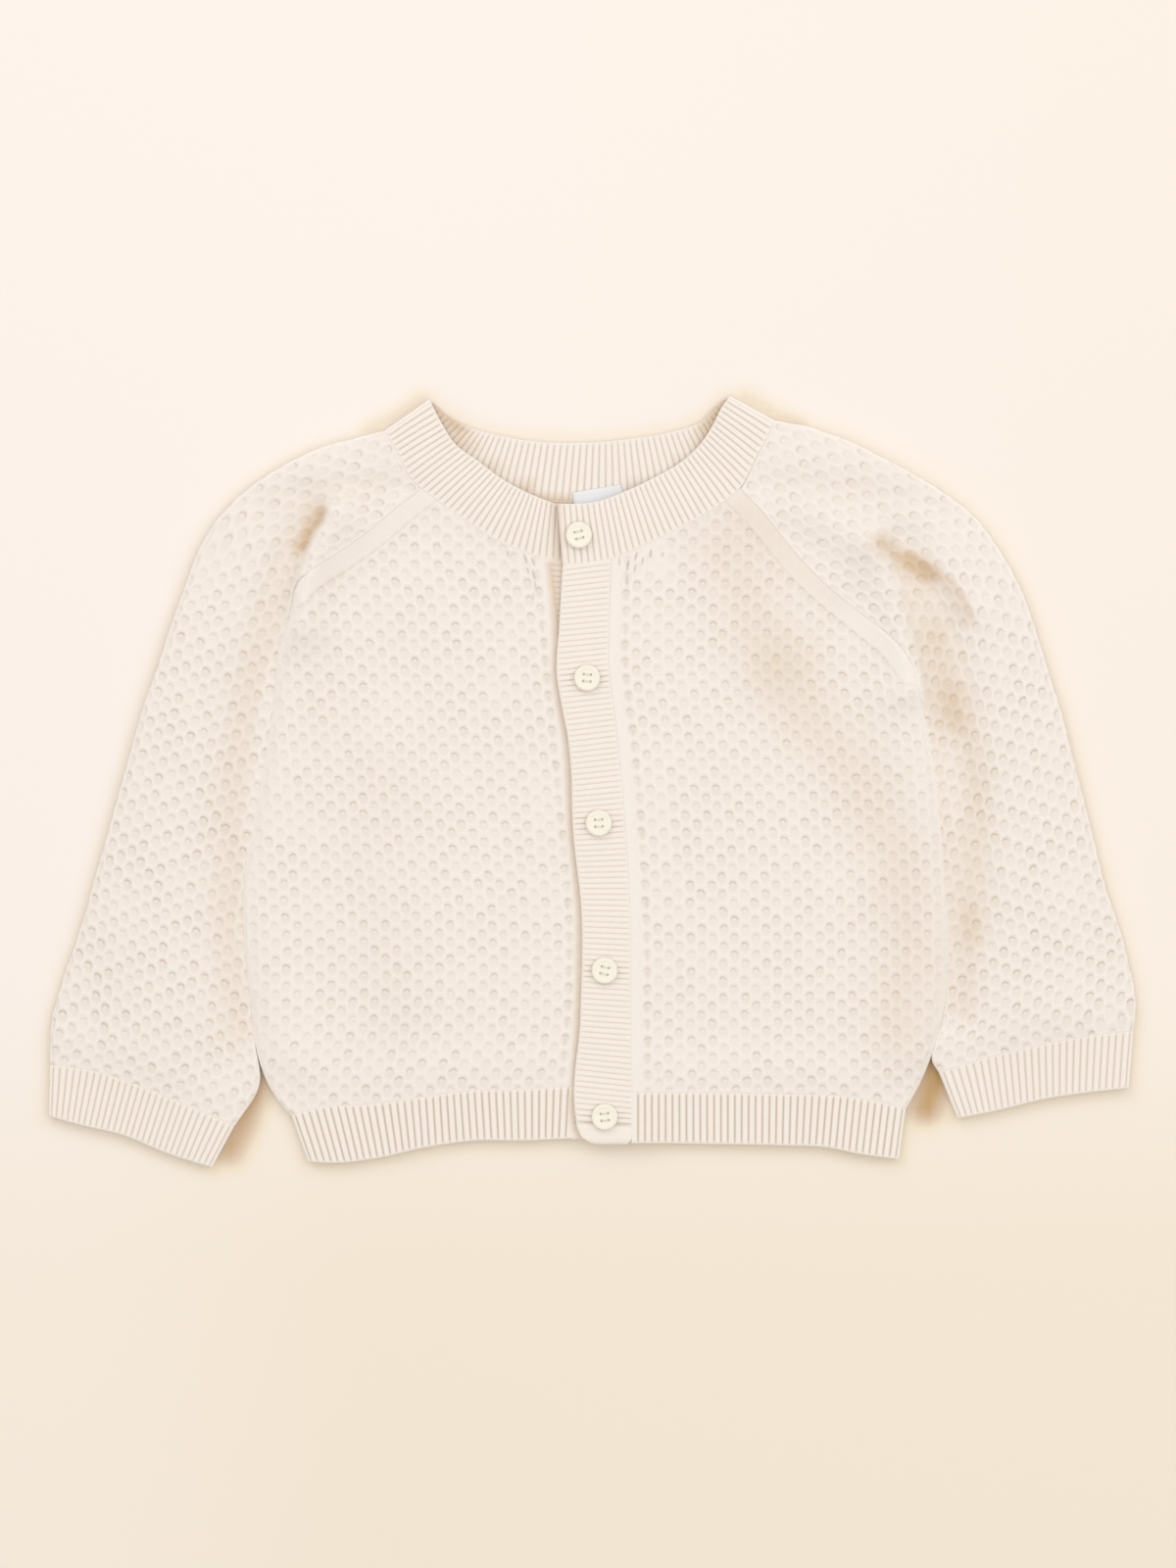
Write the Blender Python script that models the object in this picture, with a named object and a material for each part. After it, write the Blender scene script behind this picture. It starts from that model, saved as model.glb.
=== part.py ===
"""A baby's raglan cardigan in honeycomb knit with ribbed bands, buttoned up and laid flat on its back.

Run with: blender --background --python part.py

The model is in metres with +Z up. It rests on the plane z = 0, with +X towards the wearer's left and +Y
towards the neck, and its origin is under the middle of its outline. Right and left are the wearer's.
Every size and table below is in millimetres. The cloth lies in two layers: an under layer that is flat on
the ground, and an upper layer whose height is the sum of soft folds. Both turn towards each other along
the side folds and meet half way up.
"""

import math
from collections import namedtuple

import bmesh
import bpy
import numpy as np

MM = 0.001

# Driving dimensions, in millimetres.
WALL = 2.0  # thickness of every knitted wall, ribs included
RIB_DEPTH = 0.7  # how far a rib stands above the groove beside it
SEAM_GAP = 0.3  # clearance between two sewn pieces
TWO_WALLS = 4.4  # upper face of a wall that lies on another wall
LAP_LIFT = 2.3  # how much higher the buttonhole side lies, on top of the button side
NECK_WIDTH = 24.0  # nominal widths of the ribbed strips, from seam to edge
HEM_WIDTH = 22.0
HEM_RIB_PITCH = 2.96
CUFF_RIB_PITCH = 2.65
NECK_RIB_PITCH = 2.85
BAND_RIB_PITCH = 2.32
FOLD_CORE = 0.65  # most of a side fold's radius that its wall may take up
FOLD_SOFTNESS = 0.6  # rounds the foot of a fold where it runs out on the flat
UNDER_RAMP = 12.0  # width over which the button side sinks below the buttonhole side
OVER_RAMP = 26.0  # width over which the buttonhole side comes down from the band
UNDERARM = 7  # station at which a sleeve closes into a tube
TURN_START = 4.6  # station at which the raglan seams begin to turn towards each other
BUTTON_RADIUS = 5.65
BUTTON_HOLE_RADIUS = 0.75
BUTTON_HOLE_RING = 1.75  # distance of the four holes from the button's centre
BUTTON_SIDES = 18
BUTTON_SEAT = 0.3  # clearance between a button and the band
BUTTONHOLE_LENGTH = 13.0
BUTTONHOLE_WIDTH = 0.6
LABEL_THICKNESS = 1.0
QUARTER_TURN = math.pi / 2

Station = namedtuple("Station", "front_x front_y outer_x outer_y")
Spot = namedtuple("Spot", "x y")
Pair = namedtuple("Pair", "first_x first_y second_x second_y")
Fold = namedtuple("Fold", "rise left right path")

# Matched places down each sleeve, from the neck to the cuff seam. The front point runs down the raglan
# seam to the underarm and then down the fold beside the body; the outer point follows the outer fold.
RIGHT_STATIONS = [
    Station(-73.5, 125.5, -89.0, 150.5),
    Station(-84.5, 117.0, -103.0, 147.0),
    Station(-93.0, 109.5, -117.0, 143.0),
    Station(-101.5, 103.0, -130.0, 137.0),
    Station(-111.0, 96.5, -142.5, 129.5),
    Station(-119.5, 91.0, -153.5, 120.5),
    Station(-124.5, 87.0, -163.0, 109.5),
    Station(-127.5, 83.0, -170.0, 96.5),
    Station(-130.0, 71.5, -174.5, 84.0),
    Station(-135.0, 54.5, -180.0, 69.0),
    Station(-136.5, 35.0, -186.5, 49.5),
    Station(-140.0, 14.0, -192.5, 32.0),
    Station(-144.5, -11.5, -199.5, 7.5),
    Station(-149.0, -38.5, -207.0, -19.0),
    Station(-149.5, -64.0, -213.5, -42.0),
    Station(-147.0, -89.0, -219.5, -63.0),
    Station(-144.5, -112.0, -226.5, -83.0),
    Station(-143.0, -130.0, -232.0, -103.0),
    Station(-153.5, -147.5, -232.5, -121.5),
]
LEFT_STATIONS = [
    Station(63.0, 125.5, 77.5, 155.0),
    Station(73.0, 115.0, 94.5, 151.5),
    Station(82.0, 103.5, 113.0, 144.5),
    Station(91.5, 92.5, 131.5, 135.0),
    Station(102.5, 82.0, 148.5, 125.0),
    Station(115.5, 71.5, 163.0, 114.0),
    Station(129.0, 60.5, 174.5, 98.5),
    Station(137.0, 49.5, 183.5, 82.0),
    Station(140.5, 35.0, 190.5, 62.0),
    Station(144.0, 19.5, 195.5, 45.5),
    Station(146.5, 3.5, 201.0, 28.5),
    Station(148.5, -13.5, 205.5, 11.0),
    Station(150.0, -30.0, 210.0, -7.0),
    Station(151.0, -47.0, 214.5, -25.0),
    Station(152.5, -64.0, 219.0, -43.0),
    Station(152.5, -80.5, 224.5, -59.5),
    Station(149.5, -101.5, 229.5, -77.5),
    Station(145.0, -117.0, 232.5, -94.0),
    Station(148.0, -124.5, 231.5, -107.0),
]

# The body's side folds leave the sleeves near the hem and draw in to the hem seam.
RIGHT_FLANK = [Spot(-140.5, -126.0), Spot(-135.0, -136.0), Spot(-129.0, -143.0)]
LEFT_FLANK = [Spot(144.5, -118.0), Spot(140.0, -129.0), Spot(134.0, -140.0)]
BODY_STATIONS = 17  # stations that a sleeve shares with the body
RIGHT_BACK_CORNER = Spot(-74.5, 135.5)  # where the back raglan seams reach the neck seam
LEFT_BACK_CORNER = Spot(63.0, 135.5)

# Strips in plan, each with its two edges: the neckband's from the neck opening to the seam ...
NECK_RIGHT = [
    Pair(3.0, 115.5, 5.5, 93.2),
    Pair(-8.5, 117.0, -7.0, 94.4),
    Pair(-18.0, 120.0, -20.5, 96.0),
    Pair(-28.0, 124.0, -36.5, 101.5),
    Pair(-39.0, 130.0, -53.5, 111.5),
    Pair(-49.0, 137.5, -67.0, 121.0),
    Pair(-58.5, 144.5, -77.5, 130.0),
    Pair(-64.5, 153.5, -83.5, 141.5),
    Pair(-70.0, 164.0, -89.0, 150.5),
]
NECK_BACK = [
    Pair(-70.0, 164.0, -89.0, 150.5),
    Pair(-62.5, 157.0, -82.0, 140.5),
    Pair(-52.5, 152.0, -69.5, 132.5),
    Pair(-40.0, 148.5, -49.0, 125.0),
    Pair(-25.0, 146.0, -29.5, 121.5),
    Pair(-2.0, 145.5, -3.5, 120.0),
    Pair(19.0, 147.5, 23.0, 122.0),
    Pair(35.5, 150.5, 45.0, 126.5),
    Pair(46.5, 154.5, 61.0, 134.0),
    Pair(52.5, 160.5, 71.5, 143.0),
    Pair(58.5, 165.5, 77.5, 155.0),
]
NECK_LEFT = [
    Pair(58.5, 165.5, 77.5, 155.0),
    Pair(55.0, 160.5, 74.0, 147.5),
    Pair(51.5, 153.5, 69.5, 139.0),
    Pair(46.0, 145.0, 63.0, 126.5),
    Pair(37.5, 137.0, 50.5, 116.5),
    Pair(26.5, 130.5, 37.0, 109.0),
    Pair(14.0, 124.5, 21.0, 101.0),
    Pair(-1.0, 119.5, 2.5, 94.0),
    Pair(-15.0, 119.0, -13.0, 93.0),
]
# ... the front bands' from the right edge to the left edge, neck to hem ...
BUTTONHOLE_BAND = [
    Pair(-13.0, 92.5, 7.5, 94.0),
    Pair(-14.5, 66.5, 6.5, 68.5),
    Pair(-15.5, 45.5, 6.5, 48.0),
    Pair(-13.5, 33.0, 8.0, 35.5),
    Pair(-10.5, 17.0, 10.0, 19.5),
    Pair(-8.5, -22.0, 13.5, -20.5),
    Pair(-5.0, -55.5, 15.5, -56.0),
    Pair(-5.5, -101.5, 16.0, -103.0),
    Pair(-7.5, -143.0, 16.5, -144.5),
    Pair(-6.5, -148.5, 16.5, -149.0),
    Pair(-4.0, -152.5, 16.0, -153.0),
    Pair(0.5, -155.0, 14.0, -155.0),
]
BUTTON_BAND = [
    Pair(-18.5, 95.3, 2.0, 93.2),
    Pair(-15.5, 68.5, 4.5, 68.5),
    Pair(-13.5, 45.5, 5.0, 45.5),
    Pair(-11.8, 28.0, 7.0, 28.0),
    Pair(-9.8, 8.0, 9.5, 8.0),
    Pair(-7.0, -22.0, 12.0, -22.0),
    Pair(-4.0, -59.5, 14.5, -59.5),
    Pair(-4.5, -101.5, 14.5, -101.5),
    Pair(-7.5, -130.0, 12.5, -130.0),
    Pair(-9.0, -153.0, 12.0, -153.0),
]
# ... the hem's from the seam to the lower edge ...
RIGHT_HEM = [
    Pair(-129.0, -143.0, -122.0, -162.5),
    Pair(-115.5, -139.5, -109.0, -163.0),
    Pair(-97.0, -138.5, -92.5, -161.0),
    Pair(-71.0, -135.0, -69.5, -156.0),
    Pair(-52.5, -132.5, -51.0, -153.5),
    Pair(-31.5, -132.0, -31.0, -153.5),
    Pair(-7.5, -130.5, -9.0, -152.5),
]
LEFT_HEM = [
    Pair(134.0, -140.0, 131.0, -161.5),
    Pair(115.5, -136.0, 113.0, -159.0),
    Pair(103.0, -134.5, 101.0, -156.5),
    Pair(82.0, -134.0, 81.5, -155.5),
    Pair(56.5, -133.5, 56.5, -155.0),
    Pair(16.5, -133.0, 16.5, -154.5),
]
BACK_HEM = [
    Pair(-129.0, -143.0, -122.0, -162.5),
    Pair(-97.0, -138.5, -92.5, -161.0),
    Pair(-71.0, -135.0, -69.5, -156.0),
    Pair(-35.5, -132.0, -35.5, -153.5),
    Pair(48.5, -133.0, 48.5, -154.5),
    Pair(82.0, -134.0, 81.5, -155.0),
    Pair(107.0, -135.0, 105.5, -156.5),
    Pair(134.0, -140.0, 131.0, -161.5),
]
# ... and the cuffs' from the seam to the lower edge, body side first.
RIGHT_CUFF = [
    Pair(-153.5, -147.5, -163.0, -165.0),
    Pair(-174.5, -138.5, -182.0, -159.0),
    Pair(-195.5, -130.0, -201.5, -151.0),
    Pair(-214.0, -124.0, -218.5, -147.0),
    Pair(-232.5, -121.5, -233.0, -143.0),
]
LEFT_CUFF = [
    Pair(148.0, -124.5, 156.0, -144.0),
    Pair(170.0, -118.0, 173.5, -140.5),
    Pair(191.0, -113.0, 192.0, -136.0),
    Pair(212.0, -109.0, 211.0, -133.0),
    Pair(231.5, -107.0, 229.5, -131.0),
]
NECK_LABEL = [Pair(-9.0, 124.0, -8.0, 117.0), Pair(12.0, 127.5, 14.0, 120.5)]
BUTTONS = [Spot(-6.0, 105.5), Spot(-2.5, 44.5), Spot(2.5, -17.5), Spot(5.0, -80.5), Spot(5.0, -143.0)]

# The soft folds of the upper layer. Each is a ridge or a trough along a path in plan, with its own width
# to the left and to the right of the path, seen along it.
FOLDS = {
    "right sleeve crown": Fold(
        4.5, 28, 28, [(-115, 127), (-142, 100), (-160, 66), (-175, 24), (-185, -18), (-191, -60), (-189, -99)]
    ),
    "left sleeve crown": Fold(
        4.5, 28, 28, [(107, 129), (145, 106), (170, 75), (183, 33), (190, -9), (194, -51), (193, -90)]
    ),
    "right side ridge": Fold(
        3.4, 15, 8, [(-125, 62), (-129, 33), (-133, 8), (-138, -26), (-141, -55), (-138, -89), (-132, -116)]
    ),
    "left side ridge": Fold(
        3.4, 8, 15, [(131, 33), (138, 8), (142, -26), (145, -60), (144, -89), (138, -114)]
    ),
    "right armpit ridge": Fold(3.8, 12, 6.5, [(-108, 112), (-115, 102), (-121, 88), (-124, 68)]),
    "right armpit hollow": Fold(
        -3.2, 6, 12, [(-119, 114), (-127, 99), (-134, 79), (-141, 46), (-145, 12), (-152, -24)]
    ),
    "left armpit ridge": Fold(3.6, 8, 12, [(117, 98), (125, 81), (130, 62), (134, 41)]),
    "left armpit hollow": Fold(
        -3.0, 12, 7, [(130, 99), (137, 79), (145, 50), (151, 16), (156, -22), (158, -64), (154, -93)]
    ),
    "right shoulder crease": Fold(-1.3, 5, 5, [(-80, 126), (-109, 126), (-128, 124), (-141, 118)]),
    "left shoulder crease": Fold(-1.5, 6, 6, [(74, 127), (107, 125), (141, 119), (160, 112)]),
    "left shoulder ridge": Fold(1.6, 8, 8, [(82, 117), (115, 105), (145, 91), (166, 73)]),
    "right neck": Fold(2.4, 15, 15, [(-80, 150), (-67, 131), (-44, 116), (-27, 109)]),
    "left neck": Fold(2.0, 15, 15, [(68, 152), (55, 129), (36, 117), (15, 108)]),
    "right front": Fold(1.5, 45, 45, [(-65, 66), (-73, 0), (-73, -85)]),
    "left front": Fold(1.5, 45, 45, [(69, 66), (80, 0), (80, -85)]),
    "right front dip": Fold(-0.8, 20, 20, [(-95, 50), (-60, 5), (-40, -30)]),
    "left front dip": Fold(-0.8, 20, 20, [(105, 40), (70, -20), (50, -60)]),
    "right hem blouse": Fold(1.0, 9, 9, [(-117, -127), (-73, -123), (-21, -120)]),
    "left hem blouse": Fold(1.0, 9, 9, [(124, -125), (82, -123), (32, -122)]),
    "right cuff blouse": Fold(1.0, 9, 9, [(-225, -110), (-195, -118), (-157, -135)]),
    "left cuff blouse": Fold(1.0, 9, 9, [(225, -97), (191, -102), (155, -114)]),
}

# Half outline of a button: distance from its axis, and height.
BUTTON_PROFILE = [
    Spot(4.3, 0.0),
    Spot(BUTTON_RADIUS, 0.6),
    Spot(BUTTON_RADIUS, 1.5),
    Spot(4.9, 2.2),
    Spot(3.9, 2.0),
    Spot(3.3, 1.5),
]

KNIT_CREAM = (0.90, 0.84, 0.74)
RIB_CREAM = (0.87, 0.80, 0.69)
BUTTON_CREAM = (0.84, 0.79, 0.64)
LABEL_WHITE = (0.85, 0.88, 0.92)
KNIT_ROUGHNESS = 0.95
BUTTON_ROUGHNESS = 0.35


def smooth(keys, values, at):
    """Values on the smooth curve through a table's rows, cubic between one row and the next."""
    keys = np.asarray(keys, float)
    values = np.asarray(values, float)
    slopes = np.gradient(values, keys, axis=0)
    at = np.clip(np.asarray(at, float), keys[0], keys[-1])
    row = np.clip(np.searchsorted(keys, at, side="right") - 1, 0, len(keys) - 2)
    span = (keys[row + 1] - keys[row])[..., None]
    t = (at - keys[row])[..., None] / span
    start = values[row] * (1 + 2 * t) + slopes[row] * span * t
    end = values[row + 1] * (3 - 2 * t) + slopes[row + 1] * span * (t - 1)
    return start * (1 - t) ** 2 + end * t**2


def ease(share):
    """A share from 0 to 1 that leaves and arrives slowly."""
    share = np.clip(share, 0.0, 1.0)
    return share * share * (3 - 2 * share)


class Strip:
    """A strip of cloth in plan, smooth between the matched points of its two edges."""

    def __init__(self, pairs):
        self.pairs = np.array(pairs, float)
        middle = (self.pairs[:, :2] + self.pairs[:, 2:]) / 2
        steps = np.hypot(*np.diff(middle, axis=0).T)
        self.length = float(steps.sum())
        self.shares = np.concatenate([[0.0], np.cumsum(steps)]) / self.length

    def at(self, share, across):
        """Plan points at shares of the strip's length, at a share of its width."""
        edges = smooth(self.shares, self.pairs, share)
        return edges[..., :2] * (1 - across) + edges[..., 2:] * across

    def line(self, across, start=0.0, end=1.0):
        """The line along the strip at a share of its width, from one share of its length to another."""
        return lambda share: self.at(start + (end - start) * np.asarray(share), across)

    def share_near(self, spot, across):
        """The share of the strip's length at which that line passes nearest to a spot."""
        shares = np.linspace(0, 1, 2001)
        gaps = self.at(shares, across) - np.array(spot)
        return float(shares[np.argmin(np.hypot(*gaps.T))])


neck_right = Strip(NECK_RIGHT)
neck_back = Strip(NECK_BACK)
neck_left = Strip(NECK_LEFT)
buttonhole_strip = Strip(BUTTONHOLE_BAND)
button_strip = Strip(BUTTON_BAND)


def fold_rise(fold, x, y):
    """How much one fold lifts the cloth at plan points."""
    nearest = np.full(x.shape, np.inf)
    lean = np.zeros(x.shape)
    for (ax, ay), (bx, by) in zip(fold.path, fold.path[1:]):
        dx, dy = bx - ax, by - ay
        along = np.clip(((x - ax) * dx + (y - ay) * dy) / (dx * dx + dy * dy), 0, 1)
        off_x, off_y = x - ax - along * dx, y - ay - along * dy
        distance = np.hypot(off_x, off_y)
        side = (dx * off_y - dy * off_x) / (math.hypot(dx, dy) * np.maximum(distance, 1e-9))
        closer = distance < nearest
        nearest = np.where(closer, distance, nearest)
        lean = np.where(closer, side, lean)
    width = fold.right + (fold.left - fold.right) * (1 + lean) / 2
    return fold.rise * np.exp(-((nearest / width) ** 2))


def upper_height(x, y, over):
    """Height of the upper layer's outer face; `over` is true on the buttonhole side, false on the other."""
    x, y = np.asarray(x, float), np.asarray(y, float)
    total = sum(fold_rise(fold, x, y) for fold in FOLDS.values())
    lift = (total + np.sqrt(total**2 + FOLD_SOFTNESS**2)) / 2
    band = np.array(BUTTONHOLE_BAND)[::-1]
    if over:
        seam_x = np.interp(y, band[:, 3], band[:, 2])
        return TWO_WALLS + lift + LAP_LIFT * (1 - ease((x - seam_x) / OVER_RAMP))
    free_x = np.interp(y, band[:, 1], band[:, 0])
    return TWO_WALLS + lift * ease((free_x - x) / UNDER_RAMP)


def turned(arc, reach, turn):
    """Inset, drop and tilt at distances along cloth that turns away over the last `reach` of its width."""
    turn = max(turn, 1e-3)
    radius = reach / math.sin(turn)
    tilt = np.maximum(turn - arc / radius, 0.0)
    flat = np.maximum(arc - radius * turn, 0.0)
    inset = radius * (math.sin(turn) - np.sin(tilt)) + flat
    return inset, radius * (1 - np.cos(tilt)), tilt


class Course:
    """One row of a wall, laid along a line in plan.

    Where the row ends at a fold its cloth turns by a quarter towards the other layer, and where it ends
    at a flat seam or edge its turn is 0. A gap is left at each end that meets another piece.
    """

    def __init__(self, line, upper=True, over=False, turns=(0.0, 0.0), gaps=(True, True), aims=(None, None)):
        self.line, self.upper, self.over, self.aims = line, upper, over, aims
        points = line(np.linspace(0, 1, 25))
        self.width = float(np.hypot(*np.diff(points, axis=0).T).sum())
        self.margins = [SEAM_GAP / 2 / self.width * gap for gap in gaps]
        self.width -= SEAM_GAP / 2 * sum(gaps)
        self.turns = turns
        ends = self.plan(np.array([0.0, 1.0]))
        heights = [upper_height(x, y, over if upper else x > 0) for x, y in ends]
        self.reaches = [float(h) / 2 - SEAM_GAP / 2 * gap for h, gap in zip(heights, gaps)]
        self.arcs = [self.arc(reach, turn) for reach, turn in zip(self.reaches, turns)]
        self.length = self.width + sum(self.arcs) - sum(self.reaches)

    @staticmethod
    def arc(reach, turn):
        """Length of the cloth that covers `reach` in plan while it turns."""
        turn = max(turn, 1e-3)
        return reach / math.sin(turn) * turn

    def plan(self, share):
        """Plan points at shares of the row, clear of its seams."""
        start, end = self.margins
        return self.line(start + (1 - start - end) * share)

    def outward(self, end):
        """Direction in plan that points off the row at its start (0) or its end (1)."""
        if self.aims[end] is not None:
            return self.aims[end]
        inside = 0.02 if end == 0 else 0.98
        step = self.plan(np.array([float(end)])) - self.plan(np.array([inside]))
        return (step / np.hypot(*step.T))[0]

    def at(self, arcs):
        """Outer points at distances along the cloth, and the step through the wall that leads to each."""
        first = arcs < self.length / 2
        inset_a, drop_a, tilt_a = turned(arcs, self.reaches[0], self.turns[0])
        inset_b, drop_b, tilt_b = turned(self.length - arcs, self.reaches[1], self.turns[1])
        inset = np.where(first, inset_a, self.width - inset_b)
        drop = np.where(first, drop_a, drop_b)
        tilt = np.where(first, tilt_a, tilt_b)[:, None]
        x, y = self.plan(inset / self.width).T
        if self.upper:
            height = upper_height(x, y, self.over)
            z = height - drop
            level = 1 - np.sin(tilt)[:, 0]
            slope_x = (upper_height(x + 0.1, y, self.over) - height) / 0.1 * level
            slope_y = (upper_height(x, y + 0.1, self.over) - height) / 0.1 * level
            face = np.column_stack([-slope_x, -slope_y, np.ones_like(x)])
            face /= np.linalg.norm(face, axis=1)[:, None]
        else:
            z = drop
            face = np.tile([0.0, 0.0, -1.0], (len(x), 1))
        away = np.where(first[:, None], self.outward(0), self.outward(1))
        away = np.column_stack([away, np.zeros(len(x))])
        normals = face * np.cos(tilt) + away * np.sin(tilt)
        tightest = min(WALL, FOLD_CORE * min(self.reaches))
        thickness = WALL + (tightest - WALL) * np.sin(tilt)
        return np.column_stack([x, y, z]), normals * thickness

    def columns(self, start, middle, end):
        """Distances along the cloth: so many steps round each end and so many between them."""
        inner = self.length - self.arcs[1]
        return np.concatenate(
            [
                np.linspace(0, self.arcs[0], start, endpoint=False),
                np.linspace(self.arcs[0], inner, middle, endpoint=False),
                np.linspace(inner, self.length, end + 1),
            ]
        )


def rib_shares(count):
    """Shares of a length at each groove and at both shoulders of each rib, and the rise there from 0 to 1."""
    steps = [(0.0, 0.0), (0.3, 1.0), (0.7, 1.0)]
    marks = [((rib + share) / count, rise) for rib in range(count) for share, rise in steps]
    return np.array([*marks, (1.0, 0.0)]).T


COLUMNS_PER_RIB = 3


def build_wall(name, outer, inner, material, cells=None, closed_from=None):
    """Makes one closed wall between an outer and an inner grid of points.

    A cell is (first column, last column, ribbed face): the ribbed face keeps every column between the two,
    and a plain face spans them. Rows from `closed_from` on are rings, whose last column is their first.
    """
    rows, columns = outer.shape[:2]
    cells = cells or [(j, j + 1, None) for j in range(columns - 1)]
    closed_from = rows if closed_from is None else closed_from
    mesh = bmesh.new()
    made = {}

    def vertex(face, i, j):
        if i >= closed_from and j == columns - 1:
            j = 0
        key = (face, i, j)
        if key not in made:
            grid = outer if face == "outer" else inner
            made[key] = mesh.verts.new(grid[i, j] * MM)
        return made[key]

    def chain(face, i, cell):
        start, end, ribbed = cell
        steps = range(start, end + 1) if ribbed == face else (start, end)
        return [vertex(face, i, j) for j in steps]

    for i in range(rows - 1):
        for cell in cells:
            for face in ("outer", "inner"):
                low, high = chain(face, i, cell), chain(face, i + 1, cell)
                for a, b, c, d in zip(low, low[1:], high[1:], high):
                    for triangle in ((a, b, c), (a, c, d)):
                        mesh.faces.new(triangle if face == "outer" else triangle[::-1])
    for cell in cells:
        for i in (0, rows - 1):
            rim = chain("outer", i, cell) + chain("inner", i, cell)[::-1]
            mesh.faces.new(rim if i else rim[::-1])
    for i in range(min(rows - 1, closed_from)):
        for j in (0, columns - 1):
            corners = (("outer", i), ("outer", i + 1), ("inner", i + 1), ("inner", i))
            side = [vertex(face, row, j) for face, row in corners]
            mesh.faces.new(side if j else side[::-1])
    return add_object(name, mesh, material)


def add_object(name, mesh, material):
    """Adds a finished mesh to the scene as one named object."""
    bmesh.ops.recalc_face_normals(mesh, faces=mesh.faces)
    data = bpy.data.meshes.new(name)
    mesh.to_mesh(data)
    mesh.free()
    data.materials.append(material)
    thing = bpy.data.objects.new(name, data)
    bpy.context.scene.collection.objects.link(thing)
    return thing


def make_material(name, colour, roughness):
    """A Principled material of one colour."""
    material = bpy.data.materials.new(name)
    material.use_nodes = True
    shader = material.node_tree.nodes["Principled BSDF"]
    shader.inputs["Base Color"].default_value = (*colour, 1.0)
    shader.inputs["Roughness"].default_value = roughness
    return material


def knit(name):
    return make_material(f"{name}_honeycomb_knit", KNIT_CREAM, KNIT_ROUGHNESS)


def ribbing(name):
    return make_material(f"{name}_ribbing", RIB_CREAM, KNIT_ROUGHNESS)


def plain_wall(name, courses, columns, material, closed_from=None):
    """A wall of even thickness whose rows are lists of courses laid end to end."""
    outer, inner = [], []
    for row in courses:
        points, walls = [], []
        for course, counts in zip(row, columns):
            face, through = course.at(course.columns(*counts))
            skip = 1 if points else 0
            points.append(face[skip:])
            walls.append(through[skip:])
        outer.append(np.concatenate(points))
        inner.append(outer[-1] - np.concatenate(walls))
    return build_wall(name, np.array(outer), np.array(inner), material, closed_from=closed_from)


def turn_at(station):
    """How far the cloth beside a raglan seam has turned at a station: a quarter turn from the underarm on."""
    return QUARTER_TURN * float(ease((station - TURN_START) / (UNDERARM - TURN_START)))


def towards(first, second, distance):
    """The line that lies a distance away from one line, on the way to another."""

    def line(share):
        step = second(share) - first(share)
        return first(share) + step / np.linalg.norm(step, axis=-1)[..., None] * distance

    return line


def chord(start, end):
    """The straight line between two plan points."""
    start, end = np.array(start, float), np.array(end, float)
    return lambda share: start + (end - start) * np.asarray(share)[..., None]


def sleeve(name, stations, neck_front, neck_back_line, back_corner, cuff, over):
    """A raglan sleeve: a C of cloth between its two raglan seams, and a tube from the underarm down."""
    last = len(stations) - 1
    underarm = stations[UNDERARM]
    seam_step = SEAM_GAP / 2
    rows = []
    for number, station in enumerate(stations):
        front = (station.front_x, station.front_y)
        outer = (station.outer_x, station.outer_y)
        back = front
        if number < UNDERARM:
            share = number / UNDERARM
            back = (
                back_corner.x + (underarm.front_x - back_corner.x) * share,
                back_corner.y + (underarm.front_y - back_corner.y) * share,
            )
        rows.append([chord(front, outer), chord(outer, back)])
    rows[0] = [neck_front, neck_back_line]
    seam = cuff.line(0.0)
    rows[last] = [seam, lambda share: seam(1 - np.asarray(share))]
    for end, beside in ((0, 1), (last, last - 1)):
        rows[end] = [towards(a, b, SEAM_GAP * 0.8) for a, b in zip(rows[end], rows[beside])]
    courses = []
    for number, (upper, lower) in enumerate(rows):
        turn = turn_at(number)
        courses.append(
            [
                Course(upper, True, over, (turn, QUARTER_TURN), (True, False)),
                Course(lower, False, over, (QUARTER_TURN, turn), (False, True)),
            ]
        )
        for course, inner_end in zip(courses[-1], (0, 1)):
            if number >= UNDERARM:
                course.reaches[inner_end] += seam_step
                course.arcs[inner_end] = course.arc(course.reaches[inner_end], turn)
                course.length = course.width + sum(course.arcs) - sum(course.reaches)
    return plain_wall(name, courses, [(3, 9, 3), (3, 4, 3)], knit(name), closed_from=UNDERARM)


def body_edge(stations, flank):
    """Plan points down one side of the body: raglan seam, side fold, and in to the hem seam."""
    shared = [(s.front_x, s.front_y) for s in stations[:BODY_STATIONS]]
    return np.array(shared + [(spot.x, spot.y) for spot in flank])


def patch(start, end, lower, upper, rise):
    """A row of a panel between its two edge points, bent to follow its lower and upper seam lines."""

    def line(share):
        share = np.asarray(share, float)
        bend_low = lower(share) - chord(lower(0.0), lower(1.0))(share)
        bend_high = upper(share) - chord(upper(0.0), upper(1.0))(share)
        return chord(start, end)(share) + bend_low * (1 - rise) + bend_high * rise

    return line


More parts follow.
